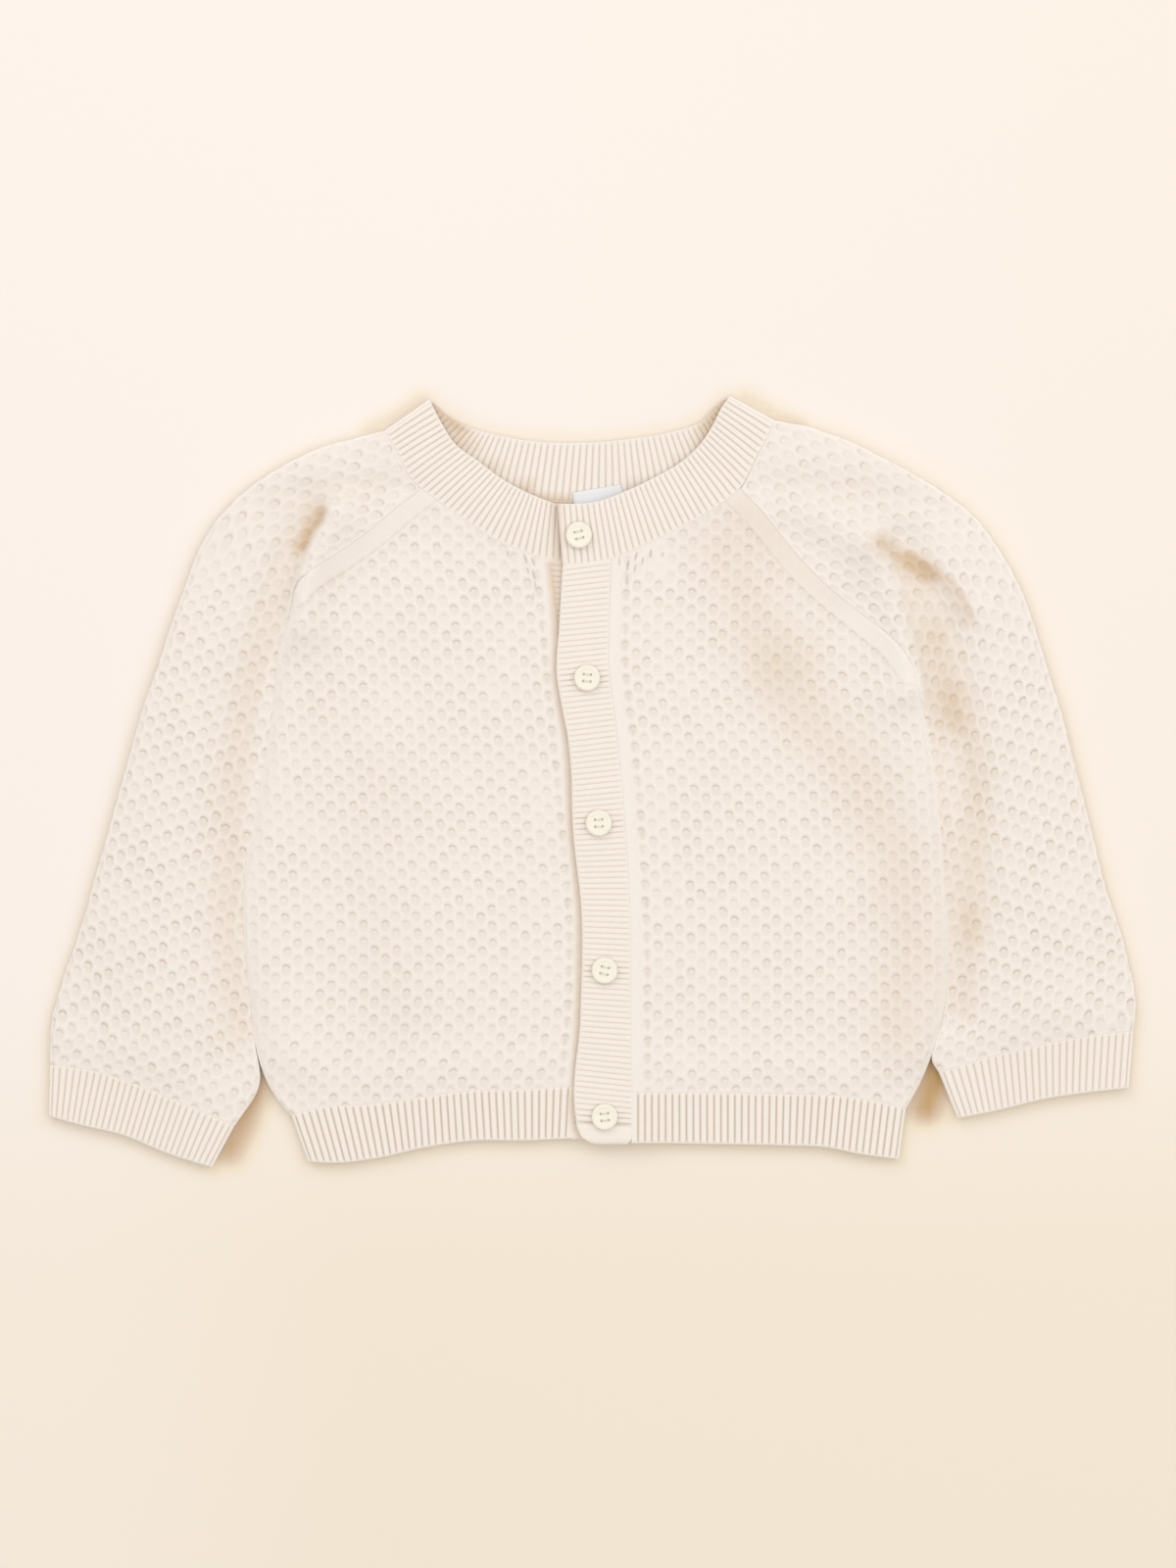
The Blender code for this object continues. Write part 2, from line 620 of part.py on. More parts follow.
def front_panel(name, edge, band_line, hem, neck, over):
    """A front: from its raglan seam and side fold to its band, and from the hem seam to the neck seam."""
    lower, upper = hem.line(0.0), neck
    edge = edge.copy()
    edge[0], edge[-1] = upper(0.0), lower(0.0)
    bottom, top = lower(1.0), upper(1.0)
    rises = (edge[:, 1] - edge[-1, 1]) / (edge[0, 1] - edge[-1, 1])
    courses = []
    for number, (start, rise) in enumerate(zip(edge, rises)):
        inside = float(np.clip(rise, margin(bottom, top), 1 - margin(bottom, top)))
        line = patch(start, band_line(rise, bottom, top), lower, upper, inside)
        shift = np.array([0.0, (inside - rise) * abs(top[1] - bottom[1])])
        line = moved(line, shift)
        courses.append([Course(line, True, over, (turn_at(number), 0.0))])
    return plain_wall(name, courses, [(3, 9, 1)], knit(name))


def margin(bottom, top):
    """Half the seam gap as a share of the way between two points."""
    return SEAM_GAP / 2 / float(np.hypot(*(top - bottom)))


def moved(line, shift):
    """The same line, moved in plan."""
    return lambda share: line(share) + shift


def band_edge(strip, across):
    """A function that gives the seam line beside a front band at a share of the way up a front."""

    def at(rise, bottom, top):
        low, high = strip.share_near(bottom, across), strip.share_near(top, across)
        spot = strip.at(low + (high - low) * rise, across)
        start, end = strip.at(low, across), strip.at(high, across)
        return spot + (bottom - start) * (1 - rise) + (top - end) * rise

    return at


def back_panel():
    """The back, flat on the ground, with a side fold and a raglan seam at each side."""
    right = body_edge(RIGHT_STATIONS, RIGHT_FLANK)
    left = body_edge(LEFT_STATIONS, LEFT_FLANK)
    for edge, corner in ((right, RIGHT_BACK_CORNER), (left, LEFT_BACK_CORNER)):
        shares = np.arange(UNDERARM)[:, None] / UNDERARM
        edge[:UNDERARM] = np.array(corner) + (edge[UNDERARM] - np.array(corner)) * shares
    lower = Strip(BACK_HEM).line(0.0)
    upper = neck_back.line(1.0, *back_corner_shares())
    right[0], left[0] = upper(0.0), upper(1.0)
    rises = (right[:, 1] - right[-1, 1]) / (right[0, 1] - right[-1, 1])
    courses = []
    for number, rise in enumerate(rises):
        line = patch(right[number], left[number], lower, upper, rise**3)
        if number == 0:
            line = moved(line, np.array([0.0, -SEAM_GAP / 2]))
        if number == len(rises) - 1:
            line = moved(line, np.array([0.0, SEAM_GAP / 2]))
        turn = turn_at(number)
        courses.append([Course(line, False, False, (turn, turn))])
    return plain_wall("back_panel", courses, [(3, 24, 3)], knit("back_panel"))


def back_corner_shares():
    """Shares along the back neck seam at which the raglan seams reach it."""
    return [neck_back.share_near(corner, 1.0) for corner in (RIGHT_BACK_CORNER, LEFT_BACK_CORNER)]


def ribbed_wall(name, tracks, pitches, faces, closed=False):
    """A ribbed wall whose rows are tracks across the ribs; each track is a list of courses laid end to end.

    `pitches` gives each course's rib pitch, or None for plain cloth, and `faces` its ribbed face.
    """
    outer, inner, cells = [], [], []
    plan = []
    for course, pitch in zip(tracks[0], pitches):
        if pitch is None:
            turned_shares = course.columns(2, 3, 2) / course.length
            plan.append((turned_shares, np.ones(len(turned_shares))))
        else:
            plan.append(rib_shares(round(course.length / pitch)))
    for track in tracks:
        row_outer, row_inner = [], []
        for course, (shares, rises), pitch, face in zip(track, plan, pitches, faces):
            points, walls = course.at(shares * course.length)
            grooves = (RIB_DEPTH / WALL * (1 - rises))[:, None] * walls
            top, under = points, points - walls
            if pitch and face == "outer":
                top = points - grooves
            if pitch and face == "inner":
                under = under + grooves
            skip = 1 if row_outer else 0
            row_outer.append(top[skip:])
            row_inner.append(under[skip:])
        outer.append(np.concatenate(row_outer))
        inner.append(np.concatenate(row_inner))
    start = 0
    for (shares, _), pitch, face in zip(plan, pitches, faces):
        step = COLUMNS_PER_RIB if pitch else 1
        end = start + len(shares) - 1
        cells += [(j, j + step, face if pitch else None) for j in range(start, end, step)]
        start = end
    return build_wall(
        name, np.array(outer), np.array(inner), ribbing(name), cells, closed_from=0 if closed else None
    )


def square_to(pair):
    """The direction in plan at right angles to the line between a pair's points, to the right of it."""
    across = np.array([pair.second_x - pair.first_x, pair.second_y - pair.first_y])
    return np.array([across[1], -across[0]]) / np.hypot(*across)


def neckband():
    """One ribbed strip round the neck. Its under end lies on the button side and its upper end on top."""
    tracks = []
    right, left = square_to(NECK_BACK[0]), -square_to(NECK_BACK[-1])
    whole = (False, False)
    both = (QUARTER_TURN, QUARTER_TURN)
    for across in (0.0, 0.5, 1.0 - SEAM_GAP / 2 / NECK_WIDTH):
        tracks.append(
            [
                Course(neck_right.line(across), True, False, (0.0, QUARTER_TURN), whole, (None, right)),
                Course(neck_back.line(across), False, False, both, whole, (right, left)),
                Course(neck_left.line(across), True, True, (QUARTER_TURN, 0.0), whole, (left, None)),
            ]
        )
    pitches = [NECK_RIB_PITCH] * 3
    return ribbed_wall("neckband", tracks, pitches, ["outer", "inner", "outer"])


def hem_rib(name, strip, upper, over):
    """A ribbed hem band, from the side fold to the front band, or across the whole back."""
    tracks = []
    turns = (QUARTER_TURN, 0.0) if upper else (QUARTER_TURN, QUARTER_TURN)
    for across in (SEAM_GAP / 2 / HEM_WIDTH, 1.0):
        tracks.append([Course(strip.line(across), upper, over, turns)])
    return ribbed_wall(name, tracks, [HEM_RIB_PITCH if upper else None], ["outer"])


def cuff(name, strip, over):
    """A ribbed tube whose under side is plain, where it lies on the ground."""
    tracks = []
    both, whole = (QUARTER_TURN, QUARTER_TURN), (False, False)
    for across in (SEAM_GAP / 2 / HEM_WIDTH, 1.0):
        tracks.append(
            [
                Course(strip.line(across), True, over, both, whole),
                Course(strip.line(across, 1.0, 0.0), False, over, both, whole),
            ]
        )
    return ribbed_wall(name, tracks, [CUFF_RIB_PITCH, None], ["outer", "outer"], closed=True)


def front_band(name, strip, over, hem_end):
    """A ribbed band up the front, its ribs across it, with a plain end of cloth at the hem."""
    tracks = []
    start = SEAM_GAP / 2 / strip.length
    for across in (0.0, 1.0):
        tracks.append(
            [
                Course(strip.line(across, start, hem_end), True, over, gaps=(True, False)),
                Course(strip.line(across, hem_end, 1.0), True, over, gaps=(False, False)),
            ]
        )
    return ribbed_wall(name, tracks, [BAND_RIB_PITCH, None], ["outer", "outer"])


def neck_label():
    """A small bare label, flat on the inside of the back neck."""
    strip = Strip(NECK_LABEL)
    low = WALL + SEAM_GAP
    grids = []
    for z in (low + LABEL_THICKNESS, low):
        rows = [strip.at(np.array([0.0, 1.0]), across) for across in (0.0, 1.0)]
        grids.append(np.array([np.column_stack([row, [z, z]]) for row in rows]))
    return build_wall("neck_label", *grids, make_material("neck_label_satin", LABEL_WHITE, 0.6))


def cut(thing, cutter):
    """Cuts a hidden cutter out of an object."""
    cutter.hide_render = True
    cutter.display_type = "WIRE"
    modifier = thing.modifiers.new("cut", "BOOLEAN")
    modifier.operation = "DIFFERENCE"
    modifier.solver = "EXACT"
    modifier.object = cutter


def prism(mesh, outline, low, high):
    """Adds an upright prism to a mesh."""
    bottom = [mesh.verts.new((x * MM, y * MM, low * MM)) for x, y in outline]
    top = [mesh.verts.new((x * MM, y * MM, high * MM)) for x, y in outline]
    mesh.faces.new(bottom[::-1])
    mesh.faces.new(top)
    for i in range(len(outline)):
        j = (i + 1) % len(outline)
        mesh.faces.new((bottom[i], bottom[j], top[j], top[i]))


def band_top(spot):
    """Highest point of the buttonhole side's cloth under a button."""
    angles = np.linspace(0, 2 * math.pi, 16, endpoint=False)
    x = np.append(spot.x + BUTTON_RADIUS * np.cos(angles), spot.x)
    y = np.append(spot.y + BUTTON_RADIUS * np.sin(angles), spot.y)
    return float(upper_height(x, y, True).max())


def button(number, spot):
    """A turned button with a raised rim and four holes, just above the band."""
    name = f"button_{number}"
    base = band_top(spot) + BUTTON_SEAT
    mesh = bmesh.new()
    rings = []
    for radius, height in BUTTON_PROFILE:
        ring = []
        for side in range(BUTTON_SIDES):
            angle = 2 * math.pi * side / BUTTON_SIDES
            x, y = spot.x + radius * math.cos(angle), spot.y + radius * math.sin(angle)
            ring.append(mesh.verts.new((x * MM, y * MM, (base + height) * MM)))
        rings.append(ring)
    for low, high in zip(rings, rings[1:]):
        for i in range(BUTTON_SIDES):
            j = (i + 1) % BUTTON_SIDES
            mesh.faces.new((low[i], low[j], high[j], high[i]))
    mesh.faces.new(rings[0][::-1])
    mesh.faces.new(rings[-1])
    material = make_material(f"{name}_plastic", BUTTON_CREAM, BUTTON_ROUGHNESS)
    thing = add_object(name, mesh, material)
    holes = bmesh.new()
    for quarter in range(4):
        angle = QUARTER_TURN * (quarter + 0.5)
        x = spot.x + BUTTON_HOLE_RING * math.cos(angle)
        y = spot.y + BUTTON_HOLE_RING * math.sin(angle)
        outline = [
            (x + BUTTON_HOLE_RADIUS * math.cos(a), y + BUTTON_HOLE_RADIUS * math.sin(a))
            for a in np.linspace(0, 2 * math.pi, 8, endpoint=False)
        ]
        prism(holes, outline, base - 1, base + 3)
    cut(thing, add_object(f"{name}_holes", holes, material))


def cut_buttonholes(neck, band):
    """Cuts the slit that each button passes through: one in the neckband and the rest in the band."""
    for thing, spots in ((neck, BUTTONS[:1]), (band, BUTTONS[1:])):
        slits = bmesh.new()
        for spot in spots:
            half, width = BUTTONHOLE_LENGTH / 2, BUTTONHOLE_WIDTH / 2
            outline = [
                (spot.x - half, spot.y - width),
                (spot.x + half, spot.y - width),
                (spot.x + half, spot.y + width),
                (spot.x - half, spot.y + width),
            ]
            prism(slits, outline, TWO_WALLS + SEAM_GAP / 2, band_top(spot) + 2)
        cut(thing, add_object(f"{thing.name}_slits", slits, thing.active_material))


def clear_scene():
    """Removes what the scene holds."""
    for thing in list(bpy.data.objects):
        bpy.data.objects.remove(thing)


def main():
    clear_scene()
    right_corner = neck_right.share_near((-73.5, 125.5), 1.0)
    left_corner = neck_left.share_near((63.0, 125.5), 1.0)
    back_right, back_left = back_corner_shares()
    right_cuff, left_cuff = Strip(RIGHT_CUFF), Strip(LEFT_CUFF)
    right_hem, left_hem = Strip(RIGHT_HEM), Strip(LEFT_HEM)

    back_panel()
    right_top = neck_right.share_near((-18.5, 96.0), 1.0)
    left_top = neck_left.share_near((7.9, 95.8), 1.0)
    front_panel(
        "right_front_panel",
        body_edge(RIGHT_STATIONS, RIGHT_FLANK),
        band_edge(button_strip, 0.0),
        right_hem,
        neck_right.line(1.0, right_corner, right_top),
        over=False,
    )
    front_panel(
        "left_front_panel",
        body_edge(LEFT_STATIONS, LEFT_FLANK),
        band_edge(buttonhole_strip, 1.0),
        left_hem,
        neck_left.line(1.0, left_corner, left_top),
        over=True,
    )
    sleeve(
        "right_sleeve",
        RIGHT_STATIONS,
        neck_right.line(1.0, right_corner, 1.0),
        neck_back.line(1.0, 0.0, back_right),
        RIGHT_BACK_CORNER,
        right_cuff,
        over=False,
    )
    sleeve(
        "left_sleeve",
        LEFT_STATIONS,
        neck_left.line(1.0, left_corner, 0.0),
        neck_back.line(1.0, 1.0, back_left),
        LEFT_BACK_CORNER,
        left_cuff,
        over=True,
    )
    cuff("right_cuff", right_cuff, over=False)
    cuff("left_cuff", left_cuff, over=True)
    hem_rib("back_hem_rib", Strip(BACK_HEM), upper=False, over=False)
    hem_rib("right_front_hem_rib", right_hem, upper=True, over=False)
    hem_rib("left_front_hem_rib", left_hem, upper=True, over=True)
    front_band("button_band", button_strip, over=False, hem_end=0.97)
    band = front_band("buttonhole_band", buttonhole_strip, over=True, hem_end=0.96)
    neck = neckband()
    neck_label()
    cut_buttonholes(neck, band)
    for number, spot in enumerate(BUTTONS, start=1):
        button(number, spot)


main()
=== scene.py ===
"""The looks of a baby's raglan cardigan in honeycomb knit, buttoned up and laid flat on its back.

Each knitted piece is a thin wall on the form of its solid, with the stitches pressed into it. The cloth lies
in two layers: an under layer, flat on the ground, and an upper layer whose height is the sum of soft folds.
Both turn towards each other at the side folds. Right and left are the wearer's. Sizes in the tables and in
the classes are in millimetres, in the frame's axes, unless a name says otherwise.
"""

import logging
import math
from collections import namedtuple
from dataclasses import dataclass, field, replace
from enum import Enum
from typing import Callable, Optional, Sequence

import bmesh
import bpy
import numpy as np
from mathutils import Matrix, Vector


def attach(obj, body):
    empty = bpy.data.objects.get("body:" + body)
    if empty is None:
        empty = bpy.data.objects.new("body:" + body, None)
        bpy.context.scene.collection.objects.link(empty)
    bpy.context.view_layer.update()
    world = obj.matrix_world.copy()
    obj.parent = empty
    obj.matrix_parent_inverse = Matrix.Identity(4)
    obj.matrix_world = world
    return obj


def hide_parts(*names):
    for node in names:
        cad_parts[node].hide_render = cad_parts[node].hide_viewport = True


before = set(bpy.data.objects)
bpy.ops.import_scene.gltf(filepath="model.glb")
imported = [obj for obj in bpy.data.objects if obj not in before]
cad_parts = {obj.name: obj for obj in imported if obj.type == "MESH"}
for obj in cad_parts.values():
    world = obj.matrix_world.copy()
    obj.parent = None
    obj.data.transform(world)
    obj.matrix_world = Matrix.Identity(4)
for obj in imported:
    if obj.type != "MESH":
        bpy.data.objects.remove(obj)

MM = 0.001
FULL_TURN = 2 * math.pi
QUARTER_TURN = math.pi / 2

Array = np.ndarray
Line = Callable[[Array], Array]
Material = bpy.types.Material
Mesh = bpy.types.Mesh
Socket = bpy.types.NodeSocket
Thing = bpy.types.Object
Station = namedtuple("Station", "front_x front_y outer_x outer_y")
Spot = namedtuple("Spot", "x y")
Pair = namedtuple("Pair", "first_x first_y second_x second_y")
Slit = namedtuple("Slit", "x y half_width half_height lean strength")

log = logging.getLogger("cardigan")


def rows_of(kind: Callable, rows: Sequence[tuple]) -> list:
    """A table's rows, with a name for each of their columns."""
    return [kind(*row) for row in rows]


class Lap(Enum):
    """Which front a piece of the upper layer goes with."""

    UNDER = "the button side, which lies below"
    OVER = "the buttonhole side, which lies on top"


class Layer(Enum):
    """Which of the two layers of the laid garment a run of cloth is in."""

    LOWER = "flat on the ground"
    UPPER = "on top, over the soft folds"


class Side(Enum):
    """The wearer's side, and which lap it is."""

    RIGHT = Lap.UNDER
    LEFT = Lap.OVER


# ---- sizes and tables shared by the pieces

WALL = 2.0  # thickness of every knitted wall, ribs included
SEAM_GAP = -0.25  # between two sewn pieces; below zero, their edges lap by this much
TWO_WALLS = 4.4  # upper face of a wall that lies on another wall
LAP_LIFT = 2.3  # how much higher the buttonhole side lies
UNDER_RAMP = 12.0  # width over which the button side sinks below the buttonhole side
OVER_RAMP = 26.0  # width over which the buttonhole side comes down from the band
LINK = 0.5  # how far ribbing is linked over the edge of the knit that it is sewn to
UNDERARM = 7  # station at which a sleeve closes into a tube
TURN_START = 4.6  # station at which the raglan seams begin to turn towards each other
BODY_STATIONS = 17  # stations that a sleeve shares with the body
FOLD_CORE = 0.65  # most of a side fold's radius that its wall may take up
FOLD_SOFTNESS = 0.6  # rounds the foot of a fold where it runs out on the flat
STITCH_STEP = 0.85  # distance between a honeycomb mesh's rows and columns on the upper side
UNDERSIDE_STEP = 1.6  # the same on the under side
LINE_SAMPLES = 41  # points at which a row's length in plan is measured
SEARCH_SAMPLES = 2001  # points tried along a line to find the one nearest to a spot
LEAST_TURN = 1e-3  # a fold's turn is never less, so that its radius stays finite
END_SHARE = 0.02  # share of a row over which the direction at its end is measured
SLOPE_STEP = 0.1  # distance over which the cloth's slope is measured
FREE_HEIGHT = 20.0  # more than any fold's height, so that it sets no limit to a turn
RIM_TILT = (0.45, 0.9)  # tilts of the cloth between which the painted rim highlight comes in
CLOSED_TILT = (0.5, 0.9)  # tilts between which the cells close
SEAM_BORDER = (0.2, 1.2)  # distances from a seam between which the cells begin
SEAM_TONE = 0.22  # how dark the seam line and the painted shade of its crease are at a seam
SEAM_REACH = 0.8  # distance from a seam at which they are no darker than the rest
RIM_LIGHT = 0.6  # how pale the painted rim highlight makes the cloth where it turns away fully
MOST_SHADE = 0.8  # share of the cloth's colour that the painted shade of the hollows may cover

STATIONS = {
    Side.RIGHT: rows_of(Station, [
        (-73.5, 125.5, -89, 150.5), (-84.5, 117, -103, 147), (-93, 109.5, -117, 143),
        (-101.5, 103, -130, 137), (-111, 96.5, -142.5, 129.5), (-119.5, 91, -153.5, 120.5),
        (-124.5, 87, -163, 109.5), (-127.5, 83, -170, 96.5), (-130, 71.5, -174.5, 84),
        (-135, 54.5, -180, 69), (-136.5, 35, -186.5, 49.5), (-140, 14, -192.5, 32),
        (-144.5, -11.5, -199.5, 7.5), (-149, -38.5, -207, -19), (-149.5, -64, -213.5, -42),
        (-147, -89, -219.5, -63), (-144.5, -112, -226.5, -83), (-143, -130, -232, -103),
        (-153.5, -147.5, -232.5, -121.5),
    ]),
    Side.LEFT: rows_of(Station, [
        (63, 125.5, 77.5, 155), (73, 115, 94.5, 151.5), (82, 103.5, 113, 144.5), (91.5, 92.5, 131.5, 135),
        (102.5, 82, 148.5, 125), (115.5, 71.5, 163, 114), (129, 60.5, 174.5, 98.5), (137, 49.5, 183.5, 82),
        (140.5, 35, 190.5, 62), (144, 19.5, 195.5, 45.5), (146.5, 3.5, 201, 28.5),
        (148.5, -13.5, 205.5, 11), (150, -30, 210, -7), (151, -47, 214.5, -25), (152.5, -64, 219, -43),
        (152.5, -80.5, 224.5, -59.5), (149.5, -101.5, 229.5, -77.5), (145, -117, 232.5, -94),
        (148, -124.5, 231.5, -107),
    ]),
}
FLANKS = {
    Side.RIGHT: [Spot(-140.5, -126), Spot(-135, -136), Spot(-129, -143)],
    Side.LEFT: [Spot(144.5, -118), Spot(140, -129), Spot(134, -140)],
}
BACK_CORNERS = {Side.RIGHT: Spot(-74.5, 135.5), Side.LEFT: Spot(63, 135.5)}
NECK_RIGHT = rows_of(Pair, [
    (3, 115.5, 5.5, 93.2), (-8.5, 117, -7, 94.4), (-18, 120, -20.5, 96), (-28, 124, -36.5, 101.5),
    (-39, 130, -53.5, 111.5), (-49, 137.5, -67, 121), (-58.5, 144.5, -77.5, 130),
    (-64.5, 153.5, -83.5, 141.5), (-70, 164, -89, 150.5),
])
NECK_BACK = rows_of(Pair, [
    (-70, 164, -89, 150.5), (-62.5, 157, -82, 140.5), (-52.5, 152, -69.5, 132.5), (-40, 148.5, -49, 125),
    (-25, 146, -29.5, 121.5), (-2, 145.5, -3.5, 120), (19, 147.5, 23, 122), (35.5, 150.5, 45, 126.5),
    (46.5, 154.5, 61, 134), (52.5, 160.5, 71.5, 143), (58.5, 165.5, 77.5, 155),
])
NECK_LEFT = rows_of(Pair, [
    (58.5, 165.5, 77.5, 155), (55, 160.5, 74, 147.5), (51.5, 153.5, 69.5, 139), (46, 145, 63, 126.5),
    (37.5, 137, 50.5, 116.5), (26.5, 130.5, 37, 109), (14, 124.5, 21, 101), (-1, 119.5, 2.5, 94),
    (-15, 119, -13, 93),
])
BUTTONHOLE_BAND = rows_of(Pair, [
    (-13, 92.6, 7.5, 95.3), (-14.5, 66.5, 6.5, 68.5), (-15.5, 45.5, 6.5, 48), (-13.5, 33, 8, 35.5),
    (-10.5, 17, 10, 19.5), (-8.5, -22, 13.5, -20.5), (-5, -55.5, 15.5, -56), (-5.5, -101.5, 16, -103),
    (-7.5, -143, 16.5, -144.5), (-6.5, -148.5, 16.5, -149), (-4, -152.5, 16, -153), (0.5, -155, 14, -155),
])
BUTTON_BAND = rows_of(Pair, [
    (-18.5, 95.3, 2, 93.2), (-15.5, 68.5, 4.5, 68.5), (-13.5, 45.5, 5, 45.5), (-11.8, 28, 7, 28),
    (-9.8, 8, 9.5, 8), (-7, -22, 12, -22), (-4, -59.5, 14.5, -59.5), (-4.5, -101.5, 14.5, -101.5),
    (-7.5, -130, 12.5, -130), (-9, -153, 12, -153),
])
HEMS = {
    Side.RIGHT: rows_of(Pair, [
        (-129, -143, -122, -162.5), (-115.5, -139.5, -109, -163), (-97, -138.5, -92.5, -161),
        (-71, -135, -69.5, -156), (-52.5, -132.5, -51, -153.5), (-31.5, -132, -31, -153.5),
        (-7.5, -130.5, -9, -152.5),
    ]),
    Side.LEFT: rows_of(Pair, [
        (134, -140, 131, -161.5), (115.5, -136, 113, -159), (103, -134.5, 101, -156.5),
        (82, -134, 81.5, -155.5), (56.5, -133.5, 56.5, -155), (16.5, -133, 16.5, -154.5),
    ]),
}
BACK_HEM = rows_of(Pair, [
    (-129, -143, -122, -162.5), (-97, -138.5, -92.5, -161), (-71, -135, -69.5, -156),
    (-35.5, -132, -35.5, -153.5), (48.5, -133, 48.5, -154.5), (82, -134, 81.5, -155),
    (107, -135, 105.5, -156.5), (134, -140, 131, -161.5),
])
CUFFS = {
    Side.RIGHT: rows_of(Pair, [
        (-153.5, -147.5, -163, -165), (-174.5, -138.5, -182, -159), (-195.5, -130, -201.5, -151),
        (-214, -124, -218.5, -147), (-232.5, -121.5, -233, -143),
    ]),
    Side.LEFT: rows_of(Pair, [
        (148, -124.5, 156, -144), (170, -118, 173.5, -140.5), (191, -113, 192, -136),
        (212, -109, 211, -133), (231.5, -107, 229.5, -131),
    ]),
}
NECK_LABEL = [Pair(-9, 124, -8, 117), Pair(12, 127.5, 14, 120.5)]
BUTTONS = [Spot(-6, 105.5), Spot(-2.5, 44.5), Spot(2.5, -17.5), Spot(5, -80.5), Spot(5, -143)]
STRETCHED_STITCHES = rows_of(Slit, [  # long holes below the neckband's ends
    (11.3, 94.2, 0.5, 1.8, 0, 0.7), (14.9, 92.6, 0.65, 2.6, -8, 1), (18.4, 96.3, 0.55, 2, -14, 1),
    (18, 91.2, 0.5, 1.7, -14, 0.8), (21.2, 94.5, 0.5, 1.8, -12, 0.8), (24.7, 97.6, 0.55, 1.9, -6, 1),
    (29.8, 97.2, 0.8, 1.1, 0, 0.6), (14.6, 86, 0.6, 2.6, 0, 0.8), (-36.4, 97.6, 0.6, 1.5, 8, 0.8),
    (-28.9, 95.5, 0.6, 2.2, 18, 0.9), (-25.6, 94.2, 0.55, 2, 20, 0.9), (-27.8, 90.4, 0.5, 1.7, 18, 0.8),
    (-25.3, 88.6, 0.6, 2.2, 16, 0.9), (-24.7, 84.4, 0.5, 2, 6, 0.7), (-25.5, 79.6, 0.5, 1.7, 0, 0.5),
])


# ---- curves and the height of the cloth


def smooth(keys: Sequence[float], values: Array, at: Array) -> Array:
    """Reads the smooth curve through a table's rows.

    Args:
        keys: The rising key of each row.
        values: The rows' values.
        at: The keys to read at.

    Returns:
        The values, cubic between one row and the next.
    """
    keys = np.asarray(keys, float)
    values = np.asarray(values, float)
    slopes = np.gradient(values, keys, axis=0)
    at = np.clip(np.asarray(at, float), keys[0], keys[-1])
    row = np.clip(np.searchsorted(keys, at, side="right") - 1, 0, len(keys) - 2)
    span = (keys[row + 1] - keys[row])[..., None]
    t = (at - keys[row])[..., None] / span
    start = values[row] * (1 + 2 * t) + slopes[row] * span * t
    end = values[row + 1] * (3 - 2 * t) + slopes[row + 1] * span * (t - 1)
    return start * (1 - t) ** 2 + end * t**2


def ease(share: Array) -> Array:
    """A share from 0 to 1 that leaves and arrives slowly."""
    share = np.clip(share, 0.0, 1.0)
    return share * share * (3 - 2 * share)


def between(low: float, high: float, value: Array) -> Array:
    """How far a value has come from one limit to the other, eased."""
    return ease((np.asarray(value, float) - low) / (high - low))


class Strip:
    """A strip of cloth in plan, smooth between the matched points of its two edges."""

    def __init__(self, pairs: Sequence[Pair]) -> None:
        """Measures the strip along its middle.

        Args:
            pairs: Matched points of its two edges.
        """
        self.pairs = np.array(pairs, float)
        middle = (self.pairs[:, :2] + self.pairs[:, 2:]) / 2
        steps = np.hypot(*np.diff(middle, axis=0).T)
        self.length = float(steps.sum())
        self.shares = np.concatenate([[0.0], np.cumsum(steps)]) / self.length
        self.width = float(np.hypot(*(self.pairs[:, :2] - self.pairs[:, 2:]).T).mean())

    def at(self, share: Array, across: Array) -> Array:
        """Plan points at shares of the strip's length and of its width."""
        edges = smooth(self.shares, self.pairs, share)
        across = np.asarray(across, float)[..., None]
        return edges[..., :2] * (1 - across) + edges[..., 2:] * across

    def line(self, across: Array, start: float = 0.0, end: float = 1.0) -> Line:
        """The lines along the strip at shares of its width, between two shares of its length."""
        return lambda share: self.at(start + (end - start) * np.asarray(share), across)

    def share_near(self, spot: Sequence[float], across: float) -> float:
        """The share of the strip's length at which that line passes nearest to a spot."""
        shares = np.linspace(0, 1, SEARCH_SAMPLES)
        gaps = self.at(shares, across) - np.array(spot, float)
        return float(shares[np.argmin(np.hypot(*gaps.T))])


@dataclass(frozen=True)
class Fold:
    """A soft ridge or trough along a path in plan, with a width of its own to each side of the path."""

    rise: float
    left: float
    right: float
    path: tuple

    def lift(self, x: Array, y: Array) -> Array:
        """How much the fold lifts the cloth.

        Args:
            x: Plan coordinates.
            y: Plan coordinates.

        Returns:
            The lift at each point.
        """
        nearest = np.full(x.shape, np.inf)
        lean = np.zeros(x.shape)
        for (ax, ay), (bx, by) in zip(self.path, self.path[1:]):
            dx, dy = bx - ax, by - ay
            along = np.clip(((x - ax) * dx + (y - ay) * dy) / (dx * dx + dy * dy), 0, 1)
            off_x, off_y = x - ax - along * dx, y - ay - along * dy
            distance = np.hypot(off_x, off_y)
            side = (dx * off_y - dy * off_x) / (math.hypot(dx, dy) * np.maximum(distance, 1e-9))
            closer = distance < nearest
            nearest = np.where(closer, distance, nearest)
            lean = np.where(closer, side, lean)
        width = self.right + (self.left - self.right) * (1 + lean) / 2
        return self.rise * np.exp(-((nearest / width) ** 2))


